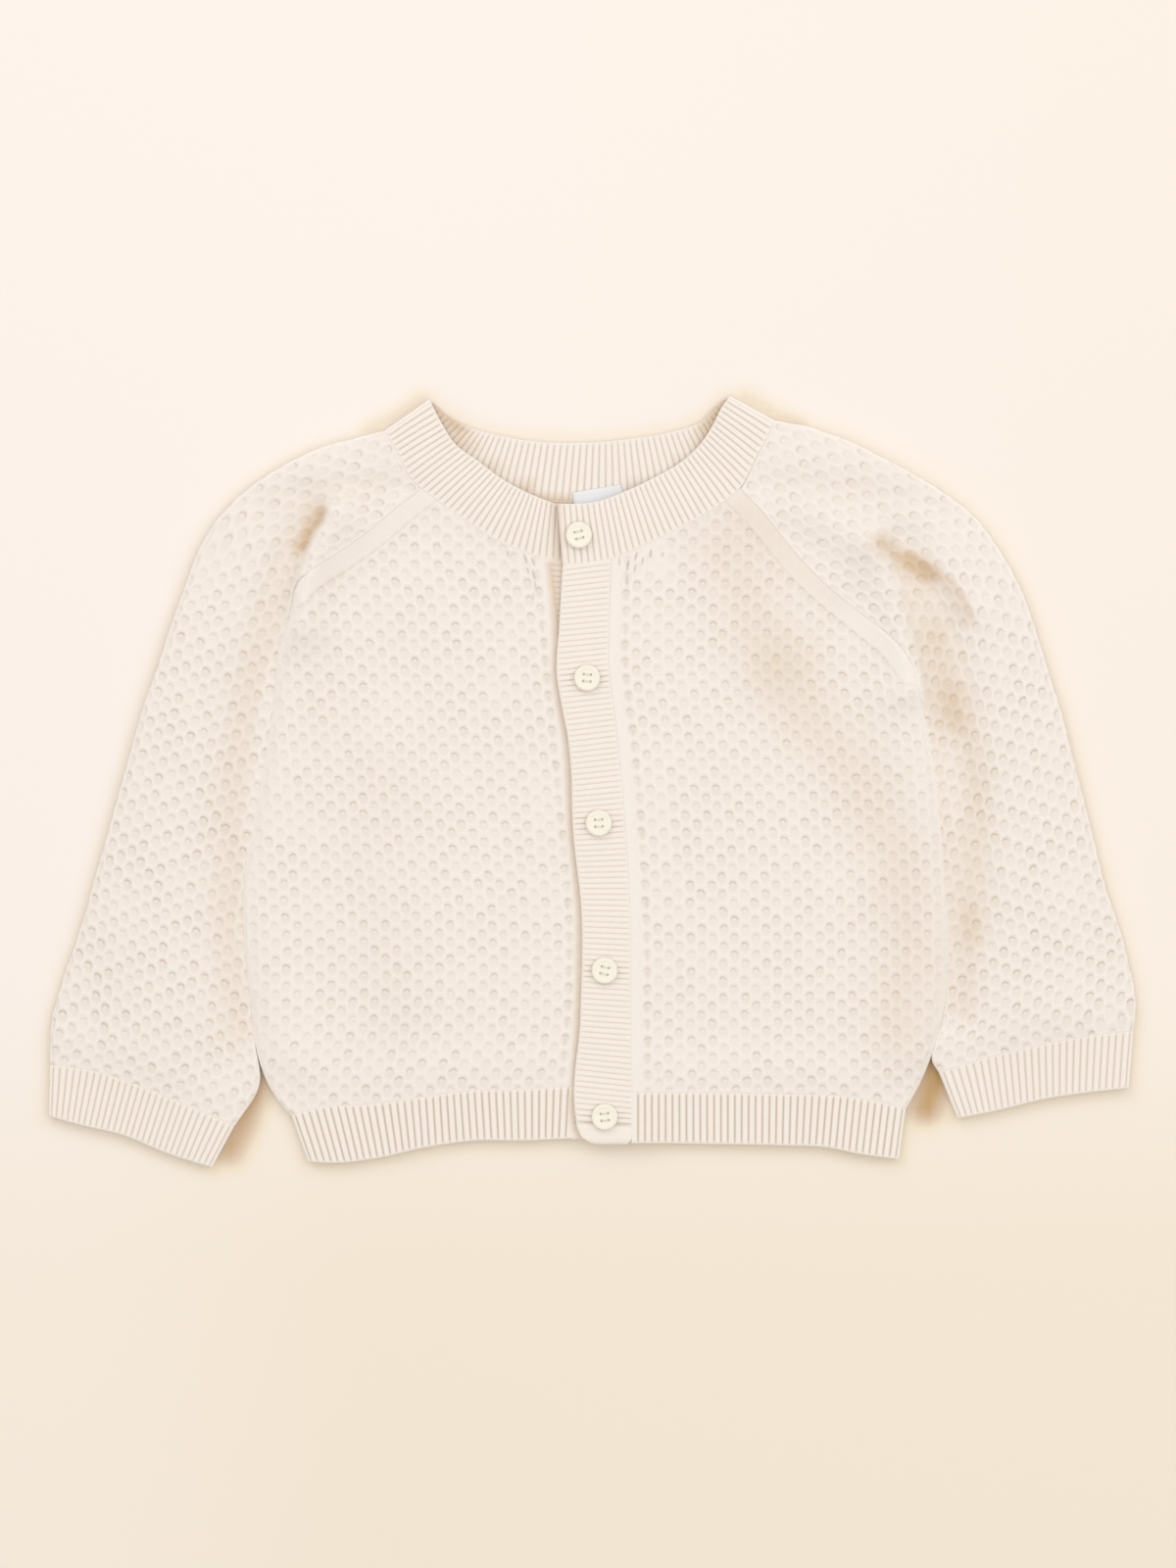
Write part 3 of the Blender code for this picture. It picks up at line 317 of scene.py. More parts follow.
MAIN_FOLDS = {
    "right sleeve crown": Fold(
        4.5, 28, 28, ((-115, 127), (-142, 100), (-160, 66), (-175, 24), (-185, -18), (-191, -60), (-189, -99))
    ),
    "left sleeve crown": Fold(
        4.5, 28, 28, ((107, 129), (145, 106), (170, 75), (183, 33), (190, -9), (194, -51), (193, -90))
    ),
    "right side ridge": Fold(
        3.4, 15, 8, ((-125, 62), (-129, 33), (-133, 8), (-138, -26), (-141, -55), (-138, -89), (-132, -116))
    ),
    "left side ridge": Fold(
        3.4, 8, 15, ((131, 33), (138, 8), (142, -26), (145, -60), (144, -89), (138, -114))
    ),
    "right armpit ridge": Fold(3.8, 12, 6.5, ((-108, 112), (-115, 102), (-121, 88), (-124, 68))),
    "right armpit hollow": Fold(
        -3.2, 6, 12, ((-119, 114), (-127, 99), (-134, 79), (-141, 46), (-145, 12), (-152, -24))
    ),
    "left armpit ridge": Fold(3.6, 8, 12, ((117, 98), (125, 81), (130, 62), (134, 41))),
    "left armpit hollow": Fold(
        -3.0, 12, 7, ((130, 99), (137, 79), (145, 50), (151, 16), (156, -22), (158, -64), (154, -93))
    ),
    "right shoulder crease": Fold(-1.3, 5, 5, ((-80, 126), (-109, 126), (-128, 124), (-141, 118))),
    "left shoulder crease": Fold(-1.5, 6, 6, ((74, 127), (107, 125), (141, 119), (160, 112))),
    "left shoulder ridge": Fold(1.6, 8, 8, ((82, 117), (115, 105), (145, 91), (166, 73))),
    "right neck": Fold(2.4, 15, 15, ((-80, 150), (-67, 131), (-44, 116), (-27, 109))),
    "left neck": Fold(2.0, 15, 15, ((68, 152), (55, 129), (36, 117), (15, 108))),
    "right front": Fold(1.5, 45, 45, ((-65, 66), (-73, 0), (-73, -85))),
    "left front": Fold(1.5, 45, 45, ((69, 66), (80, 0), (80, -85))),
    "right front dip": Fold(-0.8, 20, 20, ((-95, 50), (-60, 5), (-40, -30))),
    "left front dip": Fold(-0.8, 20, 20, ((105, 40), (70, -20), (50, -60))),
    "right hem blouse": Fold(1.0, 9, 9, ((-117, -127), (-73, -123), (-21, -120))),
    "left hem blouse": Fold(1.0, 9, 9, ((124, -125), (82, -123), (32, -122))),
    "right cuff blouse": Fold(1.0, 9, 9, ((-225, -110), (-195, -118), (-157, -135))),
    "left cuff blouse": Fold(1.0, 9, 9, ((225, -97), (191, -102), (155, -114))),
}
SHARP_FOLDS = {
    "right armpit edge": Fold(2.6, 8, 2.6, ((-112, 114), (-118, 105), (-123, 93), (-127, 80))),
    "right armpit pocket": Fold(-3.0, 3.5, 8, ((-118, 113), (-123, 104), (-129, 90), (-133, 70))),
    "left armpit edge": Fold(3.0, 2.6, 8, ((122, 104), (128, 91), (134, 72), (138, 54), (140, 40))),
    "left armpit pocket": Fold(-3.4, 12, 4, ((131, 99), (139, 84), (146, 62), (151, 34))),
    "left raglan swell": Fold(1.2, 8, 9, ((95, 113), (106, 106), (117, 99))),
    "left edge bridge": Fold(0.5, 6, 7, ((135, 50), (138, 36), (141, 20))),
    "right edge bridge": Fold(1.0, 7, 6, ((-121, 86), (-125, 72), (-128, 57))),
}
SLEEVE_TUCKS = {
    "right sleeve under the body": Fold(
        -2.4, 4, 9, ((-134, 54), (-139, 20), (-144, -10), (-149, -40), (-149, -75), (-146, -100))
    ),
    "left sleeve under the body": Fold(
        -2.4, 9, 4, ((143, 22), (146, 0), (148, -15), (150, -45), (153, -75), (150, -98))
    ),
}
# painted shade: strokes of warm shade painted into the colour, in the hollows, beside the folds, under lapped
# edges and, in TABLE_SHADE, on the table
SLEEVE_SHADE = {
    "right armpit": Fold(0.74, 2.4, 5.0, ((-116.5, 114), (-120.5, 108), (-124, 101))),
    "right sleeve beside the body": Fold(
        0.17, 5, 10, ((-128, 94), (-135, 75), (-146, 40), (-153, -10), (-155, -64), (-150, -106))
    ),
    "left armpit": Fold(0.52, 4.4, 4.4, ((123, 102.5), (129.5, 97.8), (136, 93), (143, 88.5))),
    "left armpit roof": Fold(0.36, 1.6, 4.2, ((136, 97.5), (146, 91), (153.5, 85), (158.5, 78), (161.5, 71))),
    "left armpit floor": Fold(0.18, 10, 7, ((136, 88), (142, 78), (145, 70))),
    "left sleeve hollow": Fold(0.31, 8, 8, ((147, 60), (151, 44), (154, 28))),
    "left sleeve beside the body": Fold(
        0.23, 8, 7, ((153, 36), (160, 16), (163.5, 0), (162, -32), (161, -64))
    ),
    "left sleeve low": Fold(0.18, 5, 5, ((161.5, -58), (160.6, -78), (160, -98))),
    "left sleeve edge": Fold(
        0.12, 5, 1.2,
        ((133, 78), (138, 60), (142, 44), (144.5, 24), (147, 4), (149.5, -20), (152, -50), (152, -96)),
    ),
    "left shoulder": Fold(0.07, 11, 11, ((84, 128), (107, 125), (128, 122))),
    "right shoulder": Fold(0.09, 9, 9, ((-92, 127), (-112, 125), (-134, 118))),
}
FRONT_SHADE = {
    "left front top": Fold(0.16, 17, 17, ((58, 100), (64, 84), (71, 66), (78, 52))),
    "left front": Fold(0.155, 18, 15, ((82, 46), (90, 28), (110, 6), (129, -32), (135, -74), (131, -106))),
    "left raglan": Fold(0.14, 9, 9, ((66, 118), (84, 98), (104, 80))),
    "right raglan": Fold(0.07, 9, 9, ((-80, 118), (-96, 104), (-112, 90))),
    "right front": Fold(0.04, 14, 14, ((-122, 60), (-108, 20), (-80, -8))),
    "right front low": Fold(0.045, 15, 15, ((-98, -20), (-92, -60), (-84, -100))),
    "placket": Fold(
        0.4, 1.6, 1.6,
        (
            (-18.6, 93), (-17.4, 80), (-16.4, 68), (-15.9, 58), (-16.2, 46), (-14.4, 33), (-11.4, 17),
            (-9.4, -22), (-5.9, -55), (-6.4, -101), (-8.4, -133),
        ),
    ),
}
PLACKET_SHADE = {
    "under band": Fold(0.36, 3.2, 3.2, ((-15.5, 94), (-15.5, 80), (-15.2, 68), (-15.3, 52))),
    "seam": Fold(0.4, 1.2, 1.2, ((-18.2, 93), (-16.9, 80), (-15.6, 68), (-15.0, 58), (-15.2, 46))),
    "hem": Fold(0.5, 1.6, 1.6, ((-8.4, -133), (-8.6, -143), (-7.4, -149), (-5.0, -153))),
}
LAP_SHADE = {"neckband": Fold(0.4, 2.4, 2.4, ((-15.6, 121), (-15.4, 108), (-15.0, 93)))}
NECK_SHADE = {
    "right": Fold(0.78, 4.4, 4.4, ((-68, 162), (-62, 156), (-57, 149))),
    "right edge": Fold(0.34, 2.6, 2.6, ((-57, 149), (-48, 138), (-38, 130.5), (-28, 125))),
    "front": Fold(0.22, 2.0, 2.0, ((-28, 125), (-18, 121), (-9, 118), (10, 120.5), (26, 131))),
    "left": Fold(0.8, 4.4, 4.4, ((58, 163), (53, 158), (49, 150))),
    "left edge": Fold(0.34, 2.6, 2.6, ((49, 150), (44, 143), (36, 136))),
    "back seam": Fold(0.5, 1.6, 1.6, ((-40, 124.4), (-29.5, 122), (-16, 121), (-3.5, 120.4), (8, 120.8))),
}
TABLE_SHADE = {
    "right gap": Fold(0.62, 7, 7, ((-143.5, -124), (-145, -134), (-149, -146), (-155, -158))),
    "left gap": Fold(0.85, 7, 7, ((148, -117), (146.5, -128), (143, -140))),
    "right collar": Fold(0.2, 4, 4, ((-96, 152), (-84, 158), (-74, 165))),
    "left collar": Fold(0.22, 4, 4, ((66, 166), (76, 160), (88, 154))),
    "back neck": Fold(0.05, 3, 3, ((-64, 160), (-40, 150), (-2, 147), (36, 152), (54, 163))),
}


@dataclass(frozen=True)
class Landscape:
    """The height of the upper layer's outer face over the plan."""

    folds: tuple

    def height(self, x: Array, y: Array, over: Array) -> Array:
        """Height at plan points.

        Args:
            x: Plan coordinates.
            y: Plan coordinates.
            over: True where the point belongs to the buttonhole side.

        Returns:
            The heights.
        """
        x, y = np.asarray(x, float), np.asarray(y, float)
        total = sum(fold.lift(x, y) for fold in self.folds)
        lift = (total + np.sqrt(total**2 + FOLD_SOFTNESS**2)) / 2
        band = np.array(BUTTONHOLE_BAND)[::-1]
        seam_x = np.interp(y, band[:, 3], band[:, 2])
        free_x = np.interp(y, band[:, 1], band[:, 0])
        above = lift + LAP_LIFT * (1 - ease((x - seam_x) / OVER_RAMP))
        below = lift * ease((free_x - x) / UNDER_RAMP)
        return TWO_WALLS + np.where(over, above, below)

    def slopes(self, x: Array, y: Array, over: Array, height: Array) -> tuple:
        """Slopes of the outer face along X and Y."""
        return (
            (self.height(x + SLOPE_STEP, y, over) - height) / SLOPE_STEP,
            (self.height(x, y + SLOPE_STEP, over) - height) / SLOPE_STEP,
        )


def turned(arc: Array, reach: Array, turn: Array, straight: Array) -> tuple:
    """Follows cloth that turns away over the last part of its width.

    Args:
        arc: Distances along the cloth from its edge.
        reach: How much of the plan the turn takes up.
        turn: The angle turned through at the edge.
        straight: Length of the straight cloth between the turn and the edge.

    Returns:
        Inset in plan, drop and tilt at each distance.
    """
    turn = np.maximum(turn, LEAST_TURN)
    radius = reach / np.sin(turn)
    rest = arc - straight
    tilt = np.clip(turn - rest / radius, 0.0, turn)
    flat = np.maximum(rest - radius * turn, 0.0)
    inset = radius * (np.sin(turn) - np.sin(tilt)) + flat
    return inset, radius * (1 - np.cos(tilt)) + np.maximum(-rest, 0.0) * np.sin(turn), tilt


def column(values: object, rows: int) -> Array:
    """One value for each row, as a column."""
    return np.broadcast_to(np.asarray(values, float).reshape(-1, 1), (rows, 1)).copy()


Laid = namedtuple("Laid", "points normals thickness unrolled arcs")


class Run:
    """Rows of cloth side by side, each along its own line in plan.

    Where the rows end at a fold the cloth turns towards the other layer, and where they end at a flat seam
    or edge their turn is 0. A gap is left at each end that meets another piece.
    """

    def __init__(
        self,
        land: Landscape,
        line: Line,
        rows: int,
        layer: Layer,
        lap: Lap,
        turns: tuple = (0.0, 0.0),
        gaps: tuple = (True, True),
        aims: tuple = (None, None),
        joined: tuple = (None, None),
        limits: tuple = (None, None),
    ) -> None:
        """Measures the rows.

        Args:
            land: The height of the upper layer.
            line: Gives the plan points of all rows at an array of shares.
            rows: The number of rows.
            layer: The layer that the rows lie in.
            lap: The front that the rows go with.
            turns: The angle turned through at the start and at the end of each row.
            gaps: Whether the rows stop short at their start and at their end.
            aims: The direction off the rows' start and end, if it isn't along them.
            joined: For the start and the end, rows (true) whose cloth runs on into the other layer.
            limits: The widest that the turn may be at the start and at the end, where cloth presses on it.
        """
        self.land, self.line, self.rows, self.layer, self.aims = land, line, rows, layer, aims
        self.over = lap is Lap.OVER
        points = line(np.broadcast_to(np.linspace(0, 1, LINE_SAMPLES), (rows, LINE_SAMPLES)))
        steps = np.linalg.norm(np.diff(points, axis=1), axis=-1)
        width = column(steps.sum(1), rows)
        self.margins = [SEAM_GAP / 2 / width * gap for gap in gaps]
        self.width = width - SEAM_GAP / 2 * sum(gaps)
        self.turns = [column(turn, rows) for turn in turns]
        ends = self.plan(np.broadcast_to(np.array([0.0, 1.0]), (rows, 2)))
        over = self.over if layer is Layer.UPPER else ends[..., 0] > 0
        heights = land.height(ends[..., 0], ends[..., 1], over)
        self.reaches, self.arcs, self.straights = [], [], []
        for end in (0, 1):
            half = heights[:, end : end + 1] / 2 - SEAM_GAP / 2 * gaps[end]
            if joined[end] is not None:
                half = half + SEAM_GAP / 2 * column(joined[end], rows)
            reach = half if limits[end] is None else np.minimum(half, column(limits[end], rows))
            turn = np.maximum(self.turns[end], LEAST_TURN)
            straight = (half - reach) * np.sin(turn) ** 2
            self.reaches.append(reach)
            self.straights.append(straight)
            self.arcs.append(reach / np.sin(turn) * turn + straight)
        self.length = self.width + sum(self.arcs) - sum(self.reaches)

    def plan(self, share: Array) -> Array:
        """Plan points at shares of the rows, clear of their seams."""
        start, end = self.margins
        return self.line(start + (1 - start - end) * share)

    def outward(self, end: int) -> Array:
        """Finds the direction in plan that points off each row.

        Args:
            end: 0 for the rows' start, 1 for their end.

        Returns:
            The directions.
        """
        if self.aims[end] is not None:
            return np.broadcast_to(self.aims[end], (self.rows, 1, 2))
        inside = abs(end - END_SHARE)
        at = self.plan(np.broadcast_to(np.array([float(end), inside]), (self.rows, 2)))
        step = at[:, :1] - at[:, 1:]
        return step / np.linalg.norm(step, axis=-1)[..., None]

    def columns(self, start: int, middle: int, end: int) -> Array:
        """Chooses the columns.

        Args:
            start: Steps round the start.
            middle: Steps between the two ends.
            end: Steps round the end.

        Returns:
            Distances along each row.
        """
        first, last = self.arcs
        inner = self.length - last
        lead, body = (np.linspace(0, 1, count, endpoint=False) for count in (start, middle))
        tail = inner + last * np.linspace(0, 1, end + 1)
        return np.concatenate([first * lead, first + (inner - first) * body, tail], axis=1)

    def spread(self, start: int, end: int, step: float) -> Laid:
        """Lays the cloth in columns about a step apart, with so many round each end."""
        return self.at(self.columns(start, round(float(self.length.max()) / step), end))

    def at(self, arcs: Array) -> Laid:
        """Lays the cloth.

        Args:
            arcs: Distances along the rows.

        Returns:
            Outer points, unit normals, wall thickness, the plan point that each would have if the cloth
            lay flat there, and the distances.
        """
        first = arcs < self.length / 2
        (inset_a, drop_a, tilt_a), (inset_b, drop_b, tilt_b) = (
            turned(off, self.reaches[end], self.turns[end], self.straights[end])
            for end, off in enumerate((arcs, self.length - arcs))
        )
        inset = np.where(first, inset_a, self.width - inset_b)
        drop = np.where(first, drop_a, drop_b)
        tilt = np.where(first, tilt_a, tilt_b)[..., None]
        plan = self.plan(inset / self.width)
        x, y = plan[..., 0], plan[..., 1]
        if self.layer is Layer.UPPER:
            height = self.land.height(x, y, self.over)
            z = height - drop
            slope_x, slope_y = self.land.slopes(x, y, self.over, height)
            face = np.stack([-slope_x, -slope_y, np.zeros_like(x)], -1) * (1 - np.sin(tilt))
            face[..., 2] = 1.0
            face /= np.linalg.norm(face, axis=-1)[..., None]
        else:
            z = drop
            face = np.broadcast_to(np.array([0.0, 0.0, -1.0]), (*x.shape, 3))
        away = np.where(first[..., None], self.outward(0), self.outward(1))
        normals = face * np.cos(tilt)
        normals[..., :2] += away * np.sin(tilt)
        tightest = np.minimum(WALL, FOLD_CORE * np.minimum(*self.reaches))
        thickness = WALL + (tightest - WALL) * np.sin(tilt[..., 0])
        slack_a = (self.arcs[0] - self.reaches[0]) - (arcs - inset_a)
        slack_b = (self.arcs[1] - self.reaches[1]) - (self.length - arcs - inset_b)
        slack = np.maximum(np.where(first, slack_a, slack_b), 0.0)[..., None]
        points = np.concatenate([plan, z[..., None]], -1)
        return Laid(points, normals, thickness, plan + away * slack, arcs)


def join(parts: Sequence[Laid]) -> Laid:
    """Puts runs end to end, each new one without the column that it shares with the last.

    Args:
        parts: The laid runs, in order.

    Returns:
        One piece of laid cloth.
    """
    grids, total = [], 0.0
    for number, part in enumerate(parts):
        moved = part._replace(arcs=part.arcs + total)
        grids.append([grid[:, 1 if number else 0 :] for grid in moved])
        total = total + part.arcs[:, -1:]
    return Laid(*(np.concatenate(row, axis=1) for row in zip(*grids)))


def chord(start: Array, end: Array) -> Line:
    """The straight lines between matched plan points, one for each row."""
    start, end = start[:, None, :], end[:, None, :]
    return lambda share: start + (end - start) * share[..., None]


def rows_down(points: Array, step: float) -> Array:
    """Chooses rows at even steps down a table of points, with one at each whole key.

    Args:
        points: The table.
        step: The distance between rows.

    Returns:
        The rows' keys.
    """
    marks = []
    for key, (a, b) in enumerate(zip(points, points[1:])):
        count = max(2, math.ceil(float(np.hypot(*(b - a))) / step))
        marks.append(np.linspace(key, key + 1, count, endpoint=False))
    return np.concatenate([*marks, [len(points) - 1]])


def down_rows(points: Array) -> Array:
    """Distance down each column of a grid of points, from its first row."""
    steps = np.linalg.norm(np.diff(points, axis=0), axis=-1)
    return np.concatenate([np.zeros((1, points.shape[1])), np.cumsum(steps, axis=0)])


def quads_of(grid: Array) -> Array:
    """The quads between the rows and columns of a grid of vertex numbers."""
    corners = (grid[:-1, :-1], grid[:-1, 1:], grid[1:, 1:], grid[1:, :-1])
    return np.stack(corners, -1).reshape(-1, 4)


# ---- stitches


def wander(x: Array, y: Array, phase: float) -> Array:
    """A slow uneven wave over the plan, from about -1 to 1."""
    return (
        np.sin(x / 31.0 + 1.7 * phase + np.sin(y / 43.0 + phase))
        + np.sin(y / 27.0 + 2.3 * phase + np.sin(x / 37.0))
    ) / 2


@dataclass(frozen=True)
class Honeycomb:
    """A tuck-stitch honeycomb: scale-like cells in half-drop columns, each with an arch near its top, the
    tuck stitch's hole, which the material paints dark as painted shade.

    `across` spans two columns, and `along` goes from one cell to the next in a column. A cell's edge is where
    its radius comes to 1, and it is softer in the mesh than in the material.
    """

    across: float = 9.3
    along: float = 7.35
    half_width: float = 2.2
    half_height: float = 3.25
    squareness: float = 2.1
    taper: float = 0.14
    depth: float = 0.28
    arch_centre: float = 0.9
    arch_radius: float = 1.1
    arch_width: float = 0.52
    pressed_edge: tuple = (0.15, 1.5)
    toned_edge: tuple = (0.35, 1.25)
    drift: float = 0.55

    def relief(self, u: Array, v: Array) -> Array:
        """Presses the cells.

        Args:
            u: Distances across the wales.
            v: Distances up the wales.

        Returns:
            Depth below the highest stitches.
        """
        half = self.across / 2
        wale = np.round(u / half)
        course = v / self.along + (wale % 2) / 2
        du, dv = u - wale * half, (course - np.round(course)) * self.along
        rise = dv / self.half_height
        radius = np.abs(du / (self.half_width * (1 + self.taper * rise))) ** self.squareness
        radius = radius + np.abs(rise) ** self.squareness
        return self.depth * (1 - between(*self.pressed_edge, radius)) * (0.8 + 0.2 * rise)

    def marks(self, shader: "Shader", u: "Signal", v: "Signal") -> tuple:
        """Finds the cells in a material.

        Args:
            shader: The material's nodes.
            u: Distance across the wales.
            v: Distance up the wales.

        Returns:
            How far inside a cell each point is, its painted shade there (darker towards the cell's top,
            lighter at a painted glint under the arch), how far on the arch, whose dark paint stands for the
            shade in the tuck hole, and the cell's luck.
        """
        half = self.across / 2
        wale = shader.math("ROUND", u / half)
        odd = wale - 2 * shader.math("FLOOR", wale / 2)
        course = v / self.along + odd / 2
        row = shader.math("ROUND", course)
        luck, lean, drift = (shader.dice(wale + shift, row) for shift in (0.0, 170.0, 390.0))
        du = u - wale * half + (drift - 0.5) * self.drift
        dv = (course - row) * self.along
        rise = dv / self.half_height
        reach = rise * (self.half_width * self.taper) + self.half_width
        radius = shader.math("POWER", abs(du) / reach, self.squareness)
        radius = radius + shader.math("POWER", abs(rise), self.squareness)
        inside = 1 - shader.between(*self.toned_edge, radius)
        above = dv - self.arch_centre
        aside = du + (lean - 0.5) * above * 0.9
        ring = shader.math("SQRT", aside * aside * (0.7 + 0.6 * drift) + above * above)
        # the arch, painted dark as the shade in the tuck stitch's hole
        arch = 1 - shader.between(0.0, self.arch_width, abs(ring - self.arch_radius - (luck - 0.5) * 0.35))
        arch = arch * shader.between(-0.1, 0.7, above + (lean - 0.5) * aside * 0.5)
        # painted shade in the cell: darker towards its top, as if lit from above, and lightened by a painted
        # glint under the arch
        glint = 1 - shader.between(0.1, 0.75, ring)
        shade = inside * (0.7 + 0.3 * rise) * (1 - 0.7 * glint)
        return inside, shade, arch, luck


@dataclass(frozen=True)
class Ribbing:
    """Plain ribs, with a narrow groove between one and the next."""

    depth: float = 0.6
    groove: float = 0.12
    # how dark the painted shade in a groove is
    tone: float = 0.72
    columns: tuple = (0.0, 0.06, 0.13, 0.22, 0.36, 0.5, 0.64, 0.78, 0.87, 0.94)

    def marks(self, count: int) -> Array:
        """Shares of a length for the columns of so many ribs."""
        shares = (np.arange(count)[:, None] + np.array(self.columns)) / count
        return np.append(shares.ravel(), 1.0)

    def relief(self, turn: Array) -> tuple:
        """Presses the grooves.

        Args:
            turn: Distances along the cloth counted in ribs.

        Returns:
            Depth below the crest, and how dark the painted shade in the groove is, from 0 to 1.
        """
        off = np.abs(turn - np.round(turn))
        groove = np.exp(-((off / self.groove) ** 2))
        dome = (off - 0.5) ** 2 * 4
        return self.depth * (groove + 0.12 * dome), self.tone * groove


def rounding(distance: Array, radius: float) -> Array:
    """How far a face falls away towards a rounded edge, at distances from the edge."""
    if radius <= 0:
        return np.zeros_like(distance)
    near = np.clip(radius - distance, 0, radius)
    return radius - np.sqrt(np.maximum(radius**2 - near**2, 0))


# ---- finishes


@dataclass(frozen=True)
class Signal:
    """A number that flows between a material's nodes, so that sums can be written as sums."""

    shader: "Shader"
    socket: Socket

    def __add__(self, other: object) -> "Signal":
        """The sum."""
        return self.shader.math("ADD", self, other)

    __radd__ = __add__

    def __sub__(self, other: object) -> "Signal":
        """The difference."""
        return self.shader.math("SUBTRACT", self, other)

    def __rsub__(self, other: object) -> "Signal":
        """The difference, from a plain number."""
        return self.shader.math("SUBTRACT", other, self)

    def __mul__(self, other: object) -> "Signal":
        """The product."""
        return self.shader.math("MULTIPLY", self, other)

    __rmul__ = __mul__

    def __truediv__(self, other: object) -> "Signal":
        """The quotient."""
        return self.shader.math("DIVIDE", self, other)

    def __abs__(self) -> "Signal":
        """The size without its sign."""
        return self.shader.math("ABSOLUTE", self)


class Shader:
    """Builds the nodes of one Principled material."""

    def __init__(self, name: str) -> None:
        """Starts a material with only its shader and output."""
        self.material = bpy.data.materials.new(name)
        self.material.use_nodes = True
        self.tree = self.material.node_tree
        self.shader = self.tree.nodes["Principled BSDF"]

    def fill(self, socket: Socket, value: object) -> None:
        """Links a socket, or sets it to a constant.

        Args:
            socket: The input to fill.
            value: A signal, another node's socket or a constant.
        """
        if isinstance(value, Signal):
            value = value.socket
        if isinstance(value, Socket):
            self.tree.links.new(value, socket)
        else:
            socket.default_value = value

    def node(self, kind: str, inputs: Optional[dict] = None, **settings: object) -> bpy.types.Node:
        """Adds a node.

        Args:
            kind: The node's type.
            inputs: Values for its sockets, by their number or name.
            settings: Its other properties.

        Returns:
            The node.
        """
        node = self.tree.nodes.new(kind)
        for key, value in settings.items():
            setattr(node, key, value)
        for key, value in (inputs or {}).items():
            self.fill(node.inputs[key], value)
        return node

    def math(self, operation: str, *values: object) -> Signal:
        """A sum, product or other operation on signals and numbers."""
        node = self.node("ShaderNodeMath", dict(enumerate(values)), operation=operation)
        return Signal(self, node.outputs[0])

    def between(self, low: float, high: float, value: Signal) -> Signal:
        """How far a signal has come from one limit to the other, eased."""
        inputs = {0: value, 1: low, 2: high, 3: 0.0, 4: 1.0}
        node = self.node("ShaderNodeMapRange", inputs, interpolation_type="SMOOTHSTEP")
        return Signal(self, node.outputs[0])

    def dice(self, first: Signal, second: Signal) -> Signal:
        """A fixed chance value from 0 to 1 for each pair of whole numbers."""
        place = self.node("ShaderNodeCombineXYZ", {0: first, 1: second}).outputs[0]
        node = self.node("ShaderNodeTexWhiteNoise", {0: place}, noise_dimensions="3D")
        return Signal(self, node.outputs[0])

    def attribute(self, name: str) -> Signal:
        """A value that the mesh carries."""
        return Signal(self, self.node("ShaderNodeAttribute", attribute_name=name).outputs["Fac"])

    def parts(self, vector: Socket) -> list:
        """The parts of a vector, in millimetres."""
        split = self.node("ShaderNodeSeparateXYZ", {0: vector})
        return [Signal(self, socket) / MM for socket in split.outputs]

    def place(self) -> list:
        """The point's place in the frame, in millimetres."""
        return self.parts(self.node("ShaderNodeTexCoord").outputs["Object"])

    def noise(self, scale: float, detail: float = 2.0) -> Signal:
        """A cloudy value from 0 to 1 over the frame."""
        place = self.node("ShaderNodeTexCoord").outputs["Object"]
        inputs = {"Vector": place, "Scale": scale, "Detail": detail}
        return Signal(self, self.node("ShaderNodeTexNoise", inputs).outputs[0])

    def mix(self, share: object, first: object, second: object) -> Socket:
        """A mix of two colours."""
        first, second = (value if isinstance(value, Socket) else (*value, 1) for value in (first, second))
        return self.node("ShaderNodeMix", {0: share, 6: first, 7: second}, data_type="RGBA").outputs[2]

    def bump(self, height: Signal, strength: float = 1.0, below: object = None) -> Socket:
        """A normal for a relief whose height is in millimetres, on top of another such normal."""
        node = self.node("ShaderNodeBump", {"Strength": strength, "Distance": MM, "Height": height})
        if below is not None:
            self.fill(node.inputs["Normal"], below)
        return node.outputs[0]

    def finish(self, **values: object) -> Material:
        """Fills the shader's sockets, with underscores for the spaces in their names."""
        for key, value in values.items():
            self.fill(self.shader.inputs[key.replace("_", " ")], value)
        return self.material


def shaded(colour: tuple, share: float) -> tuple:
    """A colour made darker or lighter by a factor."""
    return tuple(part * share for part in colour)


